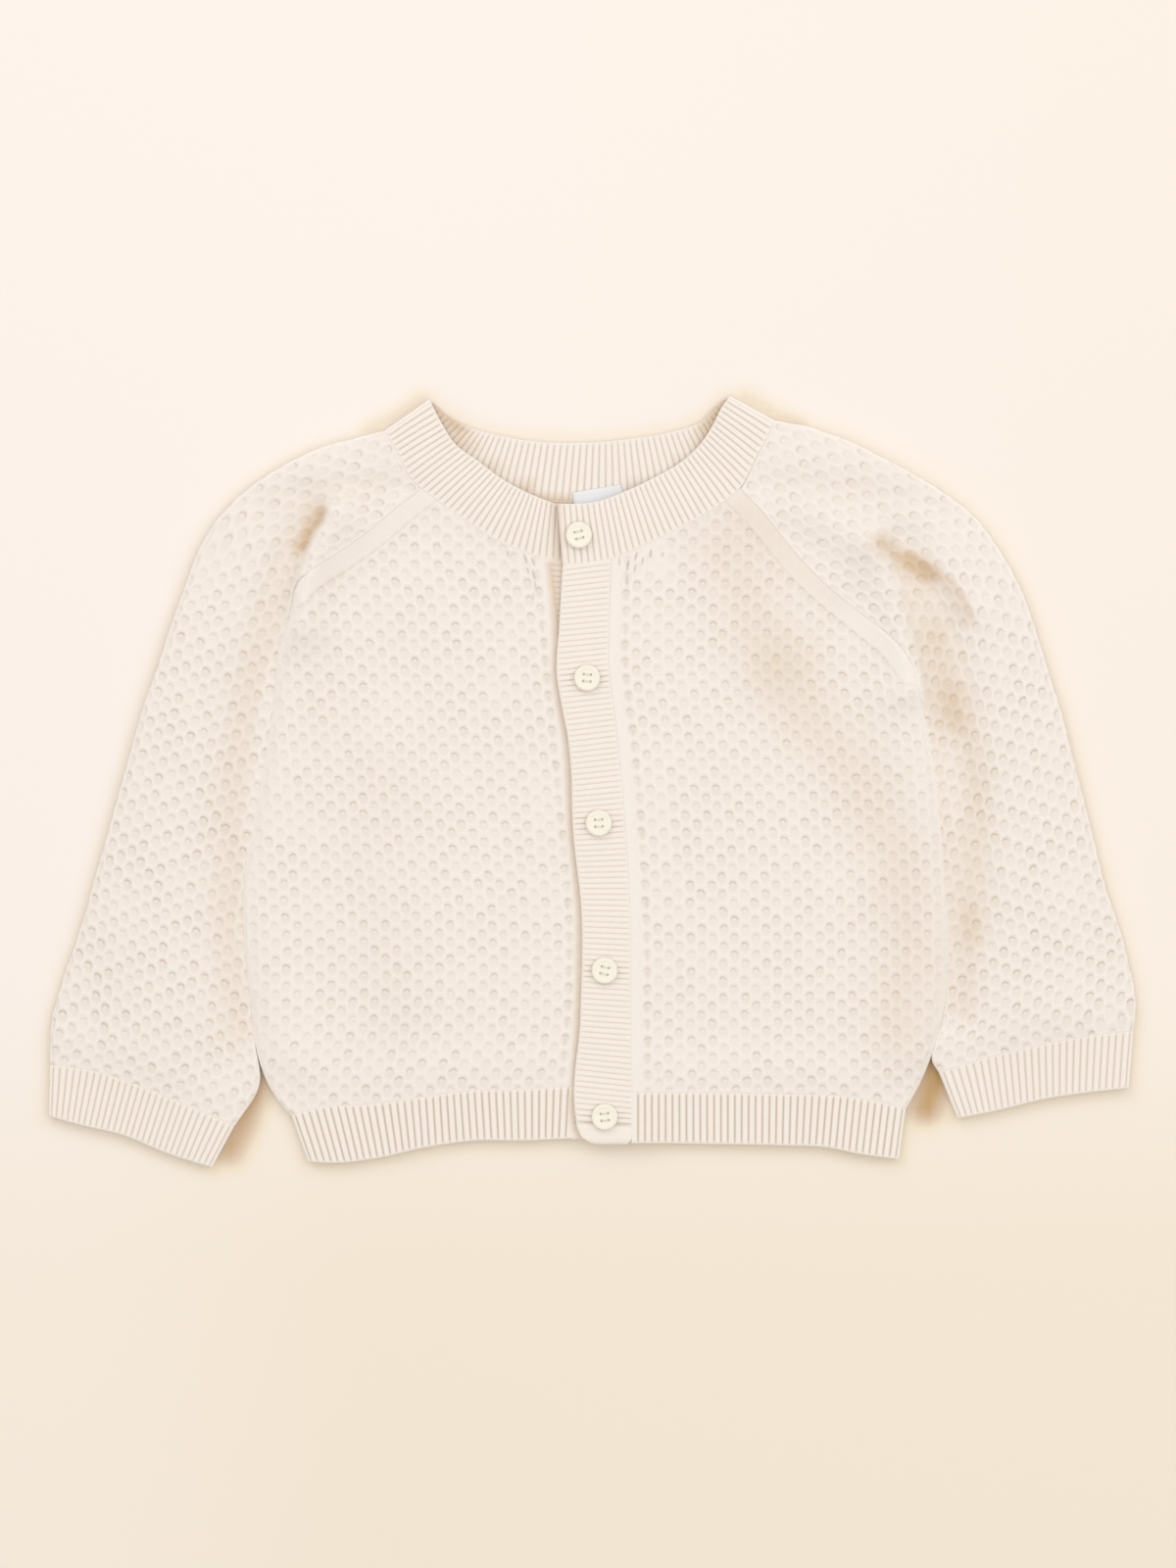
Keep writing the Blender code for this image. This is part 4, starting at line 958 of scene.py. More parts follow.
@dataclass(frozen=True)
class YarnFinish:
    """Matt cotton yarn with small V-shaped stitches, with painted shade in its cells, open stitches, grooves,
    seams and hollows, and a painted highlight where it turns away.
    """

    colour: tuple = (0.870, 0.830, 0.807)
    # the colour of the painted shade in the cells, open stitches and grooves, and of the seam lines
    dark: tuple = (0.50, 0.40, 0.29)
    # the colour of the painted shade in the hollows
    painted_shade: tuple = (0.60, 0.445, 0.285)
    # the colour of the painted highlight where the cloth turns away
    painted_rim_highlight: tuple = (0.985, 0.965, 0.94)
    comb: Optional[Honeycomb] = None
    ladder: Optional[float] = None
    slits: tuple = ()
    stitch_width: float = 1.55
    course_height: float = 1.22
    loop_height: float = 0.025
    cell_depth: float = 0.08
    slit_depth: float = 0.12
    # how dark the painted shade is in the cells, on the arches and in the open stitches
    inside_tone: float = 0.19
    arch_tone: float = 0.28
    slit_tone: float = 0.62
    sheen: float = 0.8

    def openings(self, shader: Shader, u: Signal, v: Signal) -> Optional[Signal]:
        """The long holes and slits, painted dark as the shade inside them.

        Args:
            shader: The material's nodes.
            u: Distance across the wales.
            v: Distance up the wales.

        Returns:
            How open the stitches are, or None where the piece has no such holes.
        """
        total = None
        if self.ladder is not None:
            pitch = self.comb.along
            row = shader.math("ROUND", v / pitch)
            luck = shader.dice(row, u * 0)
            off = abs(v - row * pitch) / (luck * 0.8 + 2.2)
            side = abs(u - self.ladder - (luck - 0.5) * 0.8) / 1.05
            total = (1 - shader.between(0.0, 1.1, off * off + side * side)) * (0.14 + 0.22 * luck)
        if self.slits:
            x, y, _ = shader.place()
            # an uneven strength for the painted shade of the slits
            ragged = shader.noise(900.0) * 0.7 + 0.55
        for slit in self.slits:
            lean = math.radians(slit.lean)
            dx, dy = x - slit.x, y - slit.y
            side = (dx * math.cos(lean) + dy * math.sin(lean)) / slit.half_width
            along = (dy * math.cos(lean) - dx * math.sin(lean)) / slit.half_height
            hole = (1 - shader.between(0.1, 1.7, side * side + along * along)) * slit.strength * ragged
            total = hole if total is None else shader.math("MAXIMUM", total, hole)
        return total

    def material(self, name: str) -> Material:
        """Makes the material for one piece.

        Args:
            name: The material's name.

        Returns:
            The material. It reads the mesh's attributes and its `stitch` map.
        """
        shader = Shader(name)
        u, v, _ = shader.parts(shader.node("ShaderNodeUVMap", uv_map="stitch").outputs[0])
        hollow, painted_shade, rim = (shader.attribute(trait) for trait in ("hollow", "painted_shade", "rim"))
        leg = abs(shader.math("FRACT", u / self.stitch_width) - 0.5)
        loop = shader.math("SINE", (v / self.course_height + leg) * FULL_TURN)
        relief = loop * self.loop_height - shader.math("POWER", leg * 2, 4.0) * 0.03
        patches, fibres = shader.noise(30.0, 3.0), shader.noise(1500.0, 4.0)
        colour = shader.mix(patches * 0.5, self.colour, shaded(self.colour, 0.96))
        colour = shader.mix(fibres * 0.14, colour, shaded(self.colour, 0.8))
        spread = 0.9
        if self.comb is not None:
            open_work = shader.attribute("comb")
            inside, shade, arch, luck = self.comb.marks(shader, u, v)
            inside, arch = inside * open_work, arch * open_work
            uneven = luck * 0.7 + patches * 0.7 + 0.3
            # painted shade in the cells and on the arches, uneven from cell to cell
            tone = shade * open_work * uneven * self.inside_tone + arch * (luck + 0.35) * self.arch_tone
            colour = shader.mix(tone, colour, self.dark)
            relief = relief * (1 - inside * 0.6) - inside * self.cell_depth - arch * self.cell_depth
            # the painted shade of the hollows lies deeper in the cells than on the ridges
            spread = shade * 0.25 + 0.95
        openings = self.openings(shader, u, v)
        # painted shade in the open stitches
        if openings is not None:
            colour = shader.mix(openings * self.slit_tone, colour, self.dark)
            relief = relief - openings * self.slit_depth
        # painted shade in the rib grooves and seam creases, with the seam lines
        colour = shader.mix(hollow, colour, self.dark)
        # painted highlight where the cloth turns away
        colour = shader.mix(rim, colour, self.painted_rim_highlight)
        # painted shade in the hollows of the folds
        colour = shader.mix(painted_shade * spread, colour, self.painted_shade)
        fuzz = shader.bump(fibres * 0.25, 0.35, shader.bump(relief))
        return shader.finish(
            Base_Color=colour, Roughness=0.96, Specular_IOR_Level=0.2,
            Sheen_Weight=self.sheen, Sheen_Roughness=0.35, Normal=fuzz,
        )


@dataclass(frozen=True)
class PlasticFinish:
    """Smooth moulded plastic in one colour, with a faint unevenness."""

    colour: tuple = (0.875, 0.845, 0.765)
    roughness: float = 0.42
    coat: float = 0.2

    def material(self, name: str) -> Material:
        """Makes the material for the buttons.

        Args:
            name: The material's name.

        Returns:
            The material.
        """
        shader = Shader(name)
        colour = shader.mix(shader.noise(260.0) * 0.4, self.colour, shaded(self.colour, 0.92))
        return shader.finish(
            Base_Color=colour, Roughness=self.roughness, Coat_Weight=self.coat, Coat_Roughness=0.25
        )


@dataclass(frozen=True)
class ThreadFinish:
    """Twisted sewing thread."""

    colour: tuple = (0.86, 0.83, 0.75)

    def material(self, name: str) -> Material:
        """Makes the material for the thread."""
        shader = Shader(name)
        colour = shader.mix(shader.noise(3000.0), self.colour, shaded(self.colour, 0.8))
        return shader.finish(Base_Color=colour, Roughness=0.8)


@dataclass(frozen=True)
class SatinFinish:
    """Woven satin, with fine threads both ways."""

    colour: tuple = (0.80, 0.83, 0.88)
    warp_pitch: float = 0.35
    weft_pitch: float = 0.3

    def material(self, name: str) -> Material:
        """Makes the material for the label.

        Args:
            name: The material's name.

        Returns:
            The material.
        """
        shader = Shader(name)
        x, y, _ = shader.place()
        warp = shader.math("SINE", x * (FULL_TURN / self.warp_pitch))
        weave = warp * shader.math("SINE", y * (FULL_TURN / self.weft_pitch))
        colour = shader.mix(weave * 0.08 + 0.1, self.colour, shaded(self.colour, 0.88))
        return shader.finish(
            Base_Color=colour, Roughness=0.45, Sheen_Weight=0.2, Normal=shader.bump(weave * 0.02)
        )


# ---- walls of cloth


def added(name: str, data: object) -> Thing:
    """A new object in the scene."""
    thing = bpy.data.objects.new(name, data)
    bpy.context.scene.collection.objects.link(thing)
    return thing


def mesh_from(edit: bmesh.types.BMesh, name: str) -> Mesh:
    """The mesh that an edit has made."""
    mesh = bpy.data.meshes.new(name)
    edit.to_mesh(mesh)
    edit.free()
    return mesh


def smooth_faces(mesh: Mesh) -> None:
    """Shades all of a mesh's faces smooth."""
    mesh.polygons.foreach_set("use_smooth", np.ones(len(mesh.polygons), bool))


@dataclass
class Wall:
    """A closed wall of cloth, made between a grid of outer points and the same grid moved inwards."""

    name: str
    laid: Laid
    depth: Array
    traits: dict
    stitch: Sequence[Array]
    finish: YarnFinish
    inner_depth: object = 0.0
    step: tuple = (1, 1)
    closed_from: Optional[int] = None
    both_faces: tuple = ("comb",)

    def marks(self, count: int, step: int, kept: Sequence[int]) -> Array:
        """The rows or columns that the coarser inner face keeps."""
        return np.unique(np.concatenate([np.arange(0, count - 1, step), [count - 1], list(kept)]).astype(int))

    def faces(self, outer: Array, inner: Array, rows: Array, columns: Array) -> tuple:
        """All the wall's faces.

        Args:
            outer: The outer vertices' numbers, as a grid.
            inner: The inner vertices' numbers, as a coarser grid.
            rows: The outer row of each inner row.
            columns: The outer column of each inner column.

        Returns:
            The outer quads, and the list of the other faces.
        """
        rims = []
        for k, (a, b) in enumerate(zip(columns, columns[1:])):
            rims.append([*outer[0, a : b + 1][::-1], inner[0, k], inner[0, k + 1]])
            rims.append([*outer[-1, a : b + 1], inner[-1, k + 1], inner[-1, k]])
        last = outer.shape[0] if self.closed_from is None else self.closed_from
        for k, (a, b) in enumerate(zip(rows, rows[1:])):
            if b <= last:
                rims.append([*outer[a : b + 1, 0], inner[k + 1, 0], inner[k, 0]])
                rims.append([*outer[a : b + 1, -1][::-1], inner[k, -1], inner[k + 1, -1]])
        return quads_of(outer), [*quads_of(inner)[:, ::-1].tolist(), *rims]

    def build(self) -> Thing:
        """Makes the mesh, with an attribute for each trait, and its `stitch` map.

        Returns:
            The object.
        """
        points, normals = self.laid.points, self.laid.normals
        outer = points - normals * self.depth[..., None]
        inner = points - normals * (self.laid.thickness - self.inner_depth)[..., None]
        kept = [] if self.closed_from is None else [self.closed_from]
        rows = self.marks(len(outer), self.step[0], kept)
        columns = self.marks(outer.shape[1], self.step[1], [])
        grid = np.arange(outer[..., 0].size).reshape(outer.shape[:2])
        inner_grid = grid.size + np.arange(len(rows) * len(columns)).reshape(len(rows), len(columns))
        open_grid = grid.copy()
        if self.closed_from is not None:
            grid[self.closed_from :, -1] = grid[self.closed_from :, 0]
            inner_grid[rows >= self.closed_from, -1] = inner_grid[rows >= self.closed_from, 0]
        quads, others = self.faces(grid, inner_grid, rows, columns)
        open_quads, _ = self.faces(open_grid, inner_grid, rows, columns)
        pick = np.ix_(rows, columns)
        vertices = np.concatenate([outer.reshape(-1, 3), inner[pick].reshape(-1, 3)]) * MM
        stitch = np.stack(self.stitch, -1)
        stitch = np.concatenate([stitch.reshape(-1, 2), stitch[pick].reshape(-1, 2)]) * MM
        turn = np.cross(outer[:-1, 1:] - outer[:-1, :-1], outer[1:, :-1] - outer[:-1, :-1])
        if float((turn * normals[:-1, :-1]).sum()) < 0:
            quads, open_quads = quads[:, ::-1], open_quads[:, ::-1]
            others = [face[::-1] for face in others]
        mesh = bpy.data.meshes.new(self.name)
        mesh.from_pydata(vertices.tolist(), [], [*quads.tolist(), *others])
        for name, values in self.traits.items():
            pair = values if isinstance(values, tuple) else (values, values * (name in self.both_faces))
            values, inner_values = (np.broadcast_to(one, points.shape[:2]) for one in pair)
            values = np.concatenate([values.ravel(), inner_values[pick].ravel()])
            mesh.attributes.new(name, "FLOAT", "POINT").data.foreach_set("value", values.astype(np.float32))
        corners = np.concatenate(others)
        seen = stitch[np.concatenate([open_quads.ravel(), corners])]
        mesh.uv_layers.new(name="stitch").data.foreach_set("uv", seen.astype(np.float32).ravel())
        smooth_faces(mesh)
        mesh.materials.append(self.finish.material(f"{self.name}_yarn"))
        unused = np.setdiff1d(np.arange(len(vertices)), np.concatenate([quads.ravel(), corners]))
        if len(unused):
            drop_vertices(mesh, unused)
        return added(self.name, mesh)


def drop_vertices(mesh: Mesh, unused: Array) -> None:
    """Deletes vertices that no face uses.

    Args:
        mesh: The mesh.
        unused: The vertices' numbers.
    """
    edit = bmesh.new()
    edit.from_mesh(mesh)
    edit.verts.ensure_lookup_table()
    bmesh.ops.delete(edit, geom=[edit.verts[int(number)] for number in unused], context="VERTS")
    edit.to_mesh(mesh)
    edit.free()


def dress(thing: Thing, nodes: Sequence[str]) -> None:
    """Lets a finished piece ride on the part and stand for its solids.

    Args:
        thing: The piece.
        nodes: The solids that it stands for.
    """
    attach(thing, "root")
    if nodes:
        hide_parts(*nodes)
    faces = sum(len(face.vertices) - 2 for face in thing.data.polygons)
    log.info("%s: %d triangles", thing.name, faces)


def sew(wall: Wall, node: str, allowance: float = 0.0) -> None:
    """Args:
        wall: The piece. The rows and columns of its cloth give the cut's width, length and area.
        node: The solid that it stands for.
        allowance: Length of the part of the cut that is hidden in a seam.
    """
    thing = wall.build()
    dress(thing, [node])
    across = np.linalg.norm(np.diff(wall.laid.points, axis=1), axis=-1)
    down = np.linalg.norm(np.diff(wall.laid.points, axis=0), axis=-1)
    width = float(across.sum(1).max()) * MM
    length = (float(down.sum(0).max()) + allowance) * MM
    area = float((across[:-1] * (down[:, :-1] + down[:, 1:]) / 2).sum()) * MM**2
    min(area, width * length)
    log.info("%s: cut %.0f x %.0f mm, %.4f square metres", thing.name, width / MM, length / MM, area)


def border_fall(laid: Laid, radii: tuple) -> tuple:
    """The rounding along a grid's four borders.

    Args:
        laid: The cloth.
        radii: Edge radius at the first column, last column, first row and last row.

    Returns:
        Depth of the rounding, and the distance to the nearest rounded border.
    """
    down = down_rows(laid.points)
    distances = (laid.arcs, laid.arcs[:, -1:] - laid.arcs, down, down[-1:] - down)
    fall = np.zeros(laid.arcs.shape)
    nearest = np.full(laid.arcs.shape, np.inf)
    for distance, radius in zip(distances, radii):
        if radius > 0:
            fall = np.maximum(fall, rounding(distance, radius))
            nearest = np.minimum(nearest, distance)
    return fall, nearest


# ---- the garment's pieces


def shade_at(strokes: dict, laid: Laid) -> Array:
    """How much painted shade of the hollows lies on each point of the cloth."""
    x, y = laid.points[..., 0], laid.points[..., 1]
    total = sum((stroke.lift(x, y) for stroke in strokes.values()), np.zeros_like(x))
    return np.clip(total, 0.0, MOST_SHADE)


def flatness(laid: Laid) -> Array:
    """1 where the cloth lies flat, falling to 0 where it turns away, so that turned edges stay closed."""
    return 1 - between(*CLOSED_TILT, np.hypot(laid.normals[..., 0], laid.normals[..., 1]))


def rim_light(laid: Laid) -> Array:
    """How much a painted highlight lightens the cloth where it turns away at a soft edge."""
    return RIM_LIGHT * between(*RIM_TILT, np.hypot(laid.normals[..., 0], laid.normals[..., 1]))


def seam_shade(distance: Array) -> Array:
    """How dark the seam line and the painted shade of its crease are, at distances from a seam."""
    return SEAM_TONE * (1 - between(0.0, SEAM_REACH, distance))


@dataclass
class Cut:
    """What all the pieces are cut from: the height of the cloth, and the strips that they are sewn along."""

    land: Landscape
    neck_right: Strip = Strip(NECK_RIGHT)
    neck_back: Strip = Strip(NECK_BACK)
    neck_left: Strip = Strip(NECK_LEFT)
    buttonhole_band: Strip = Strip(BUTTONHOLE_BAND)
    button_band: Strip = Strip(BUTTON_BAND)
    back_hem: Strip = Strip(BACK_HEM)

    def stations(self, side: Side) -> Array:
        """The matched places down a sleeve."""
        return np.array(STATIONS[side])

    def body_edge(self, side: Side) -> Array:
        """Plan points down one side of the body, from the neck seam to the hem seam."""
        return np.concatenate([self.stations(side)[:BODY_STATIONS, :2], FLANKS[side]])

    def back_corner_shares(self) -> list:
        """Where the back raglan seams reach the neck seam, as shares along it."""
        return [self.neck_back.share_near(BACK_CORNERS[side], 1.0) for side in Side]

    def turn_at(self, keys: Array) -> Array:
        """How far the cloth beside a raglan seam has turned at each station."""
        return QUARTER_TURN * between(TURN_START, UNDERARM, keys)

    def press(self, widest: float, at: Array) -> Array:
        """How wide a turn may be at each station: cloth presses on it as far down as the hem."""
        return widest + FREE_HEIGHT * between(BODY_STATIONS - 2.0, float(BODY_STATIONS), at)

    def hem(self, side: Side) -> Strip:
        """A front's hem."""
        return Strip(HEMS[side])

    def cuff(self, side: Side) -> Strip:
        """A sleeve's cuff."""
        return Strip(CUFFS[side])


def side_name(side: Side) -> str:
    """The side as it starts a node's name."""
    return side.name.lower()


def bow(line: Line) -> Line:
    """How far a seam line bends off its own chord."""
    start, end = line(np.array([0.0, 1.0]))
    return lambda share: line(share) - (start + (end - start) * share[..., None])


def patch(start: Array, end: Array, lower: Line, upper: Line, rise: Array, lift: Array) -> Line:
    """The rows of a panel between its two edges, bent to follow its lower and upper seams, and lifted."""
    rise, lift = rise[:, None, None], lift[:, None, None] * np.array([0.0, 1.0])
    low, high = bow(lower), bow(upper)
    return lambda share: chord(start, end)(share) + low(share) * (1 - rise) + high(share) * rise + lift


@dataclass
class FrontPanel:
    """A front in honeycomb, with a plain strip beside its raglan seam and another beside its band."""

    cut: Cut
    side: Side
    comb: Honeycomb = Honeycomb()
    finish: YarnFinish = YarnFinish(comb=Honeycomb(), ladder=9.3, slits=tuple(STRETCHED_STITCHES))
    raglan_strip: float = 8.2
    band_strip: float = 4.4
    band_tops: tuple = (Spot(-18.5, 96.0), Spot(7.9, 95.8))
    first_columns: tuple = (6.3, 7.1)
    sway: tuple = (0.9, 1.1)
    steady_strip: tuple = (4.0, 40.0)
    rim_width: float = 5.5
    rim_calm: float = 0.65
    top_calm: float = 0.7
    top_sides: tuple = (36.0, 30.0)
    top_rows: tuple = (84.0, 92.0)
    # how dark the line along the raglan strip's border is, and how much of the seam line and its painted
    # crease shade shows beside the band
    ridge_tone: float = 0.13
    band_tone: float = 0.25
    seam_radius: float = 0.35
    pressed: float = 2.4
    band_limit: float = 0.9
    turn_columns: tuple = (8, 3)

    def lay(self) -> Laid:
        """Lays the rows from the neck seam down to the hem seam.

        Returns:
            The cloth.
        """
        cut = self.cut
        table = cut.body_edge(self.side)
        if self.side is Side.RIGHT:
            neck, band, across, band_top = cut.neck_right, cut.button_band, 0.0, self.band_tops[0]
        else:
            neck, band, across, band_top = cut.neck_left, cut.buttonhole_band, 1.0, self.band_tops[1]
        upper = neck.line(1.0, neck.share_near(table[0], 1.0), neck.share_near(band_top, 1.0))
        lower = cut.hem(self.side).line(0.0)
        ends = np.array([0.0, 1.0])
        (table[0], top_end), (table[-1], bottom_end) = upper(ends), lower(ends)
        at = rows_down(table, STITCH_STEP)
        edge = smooth(range(len(table)), table, at)
        rise = (edge[:, 1] - edge[-1, 1]) / (edge[0, 1] - edge[-1, 1])
        low, high = band.share_near(bottom_end, across), band.share_near(top_end, across)
        seam = band.at(low + (high - low) * rise, across)
        seam += (bottom_end - band.at(low, across)) * (1 - rise)[:, None]
        seam += (top_end - band.at(high, across)) * rise[:, None]
        span = float(np.hypot(*(top_end - bottom_end)))
        inside = np.clip(rise, SEAM_GAP / 2 / span, 1 - SEAM_GAP / 2 / span)
        run = Run(
            cut.land,
            patch(edge, seam, lower, upper, inside, (inside - rise) * span),
            len(at),
            Layer.UPPER,
            self.side.value,
            (cut.turn_at(at), 0.0),
            limits=(cut.press(self.pressed, at), self.band_limit),
        )
        return run.spread(*self.turn_columns, STITCH_STEP)

    def edge_distance(self, plan: Array, first: int, last: int) -> Array:
        """Measures how far plan points are from the panel's outer edge.

        Args:
            plan: The points.
            first: The station at which the edge starts.
            last: The station at which it ends.

        Returns:
            The distances.
        """
        edge = self.cut.body_edge(self.side)[first : last + 1]
        nearest = np.full(plan.shape[:-1], np.inf)
        for a, b in zip(edge, edge[1:]):
            step = b - a
            along = np.clip(((plan - a) @ step) / float(step @ step), 0, 1)
            gap = np.linalg.norm(plan - a - along[..., None] * step, axis=-1)
            nearest = np.minimum(nearest, gap)
        return nearest

    def build(self) -> None:
        """Makes the piece."""
        laid = self.lay()
        x, y = laid.unrolled[..., 0], laid.unrolled[..., 1]
        sign = -1.0 if self.side is Side.RIGHT else 1.0
        band_side = laid.unrolled[::-1, -1]
        from_band = sign * (x - np.interp(y.ravel(), band_side[:, 1], band_side[:, 0]).reshape(y.shape))
        first = self.first_columns[self.side is Side.LEFT]
        sway = self.sway[0] * wander(x, y, 1.0 + sign) * between(*self.steady_strip, from_band)
        u = from_band + self.comb.across - first + sway
        v = y + self.sway[1] * wander(y, x, 2.0 + sign)
        raglan = self.edge_distance(laid.unrolled, 0, UNDERARM)
        rim = self.edge_distance(laid.points[..., :2], UNDERARM - 1, BODY_STATIONS - 1)
        plain = between(self.raglan_strip - 1.2, self.raglan_strip + 0.8, raglan)
        plain = plain * between(self.band_strip - 0.8, self.band_strip + 0.8, from_band)
        top = between(*self.top_sides, abs(x)) * between(*self.top_rows, y)
        plain = plain * (1 - self.top_calm * top)
        ridge = 1 - between(0.25, 0.75, abs(raglan - self.raglan_strip))
        fall, nearest = border_fall(laid, (self.seam_radius,) * 4)
        # painted light: the cells and their painted shade fade near the side fold, so that the edge reads
        # lighter
        calm = 1 - self.rim_calm * np.exp(-((rim / self.rim_width) ** 2))
        comb = plain * between(*SEAM_BORDER, nearest) * calm
        band_gap = laid.arcs[:, -1:] - laid.arcs
        # the seam lines with painted shade in their creases, weaker beside the band, and the line along the
        # raglan strip's border
        seams = seam_shade(nearest) * np.where(band_gap < 1.0, self.band_tone, 1.0) + self.ridge_tone * ridge
        name = f"{side_name(self.side)}_front_panel"
        wall = Wall(
            f"{name}_knit",
            laid,
            self.comb.relief(u, v) * comb * flatness(laid) + fall,
            {"comb": comb, "hollow": seams, "painted_shade": shade_at(FRONT_SHADE, laid), "rim": rim_light(laid)},
            (u, v),
            self.finish,
            step=(6, 6),
        )
        sew(wall, name)


@dataclass
class BackPanel:
    """The back in honeycomb, flat on the ground."""

    cut: Cut
    comb: Honeycomb = Honeycomb()
    finish: YarnFinish = YarnFinish(comb=Honeycomb())
    sway: tuple = (0.8, 1.0)
    seam_radius: float = 0.35
    turn_columns: int = 6

    def edge(self, side: Side, at: Array) -> Array:
        """Follows one side: straight to the underarm, then down the side fold.

        Args:
            side: The side.
            at: The rows' keys.

        Returns:
            Plan points.
        """
        table = self.cut.body_edge(side)
        corner = self.cut.neck_back.at(np.array(self.cut.back_corner_shares()), 1.0)
        corner = corner[0 if side is Side.RIGHT else 1]
        table[-1] = self.cut.back_hem.at(0.0 if side is Side.RIGHT else 1.0, 0.0)
        points = smooth(range(len(table)), table, at)
        share = np.clip(at / UNDERARM, 0, 1)[:, None]
        return np.where(at[:, None] < UNDERARM, corner + (table[UNDERARM] - corner) * share, points)

    def lay(self) -> Laid:
        """Lays the rows from the neck seam down to the hem seam.

        Returns:
            The cloth.
        """
        cut = self.cut
        at = rows_down(cut.body_edge(Side.RIGHT), UNDERSIDE_STEP)
        right, left = self.edge(Side.RIGHT, at), self.edge(Side.LEFT, at)
        rise = (right[:, 1] - right[-1, 1]) / (right[0, 1] - right[-1, 1])
        upper = cut.neck_back.line(1.0, *cut.back_corner_shares())
        lift = SEAM_GAP / 2 * ((at == at[-1]).astype(float) - (at == 0))
        rows = patch(right, left, cut.back_hem.line(0.0), upper, rise**3, lift)
        turn = cut.turn_at(at)
        run = Run(cut.land, rows, len(at), Layer.LOWER, Lap.UNDER, (turn, turn))
        return run.spread(self.turn_columns, self.turn_columns, UNDERSIDE_STEP)

    def build(self) -> None:
        """Makes the piece."""
        laid = self.lay()
        x, y = laid.unrolled[..., 0], laid.unrolled[..., 1]
        u, v = x + self.sway[0] * wander(x, y, 4.0), y + self.sway[1] * wander(y, x, 5.0)
        fall, nearest = border_fall(laid, (self.seam_radius,) * 4)
        comb, painted_shade = between(*SEAM_BORDER, nearest), (0.0, shade_at(NECK_SHADE, laid))
        wall = Wall(
            "back_panel_knit",
            laid,
            self.comb.relief(u, v) * comb + fall,
            {"comb": comb, "hollow": seam_shade(nearest), "painted_shade": painted_shade, "rim": rim_light(laid)},
            (u, v),
            self.finish,
            step=(4, 4),
        )
        sew(wall, "back_panel")


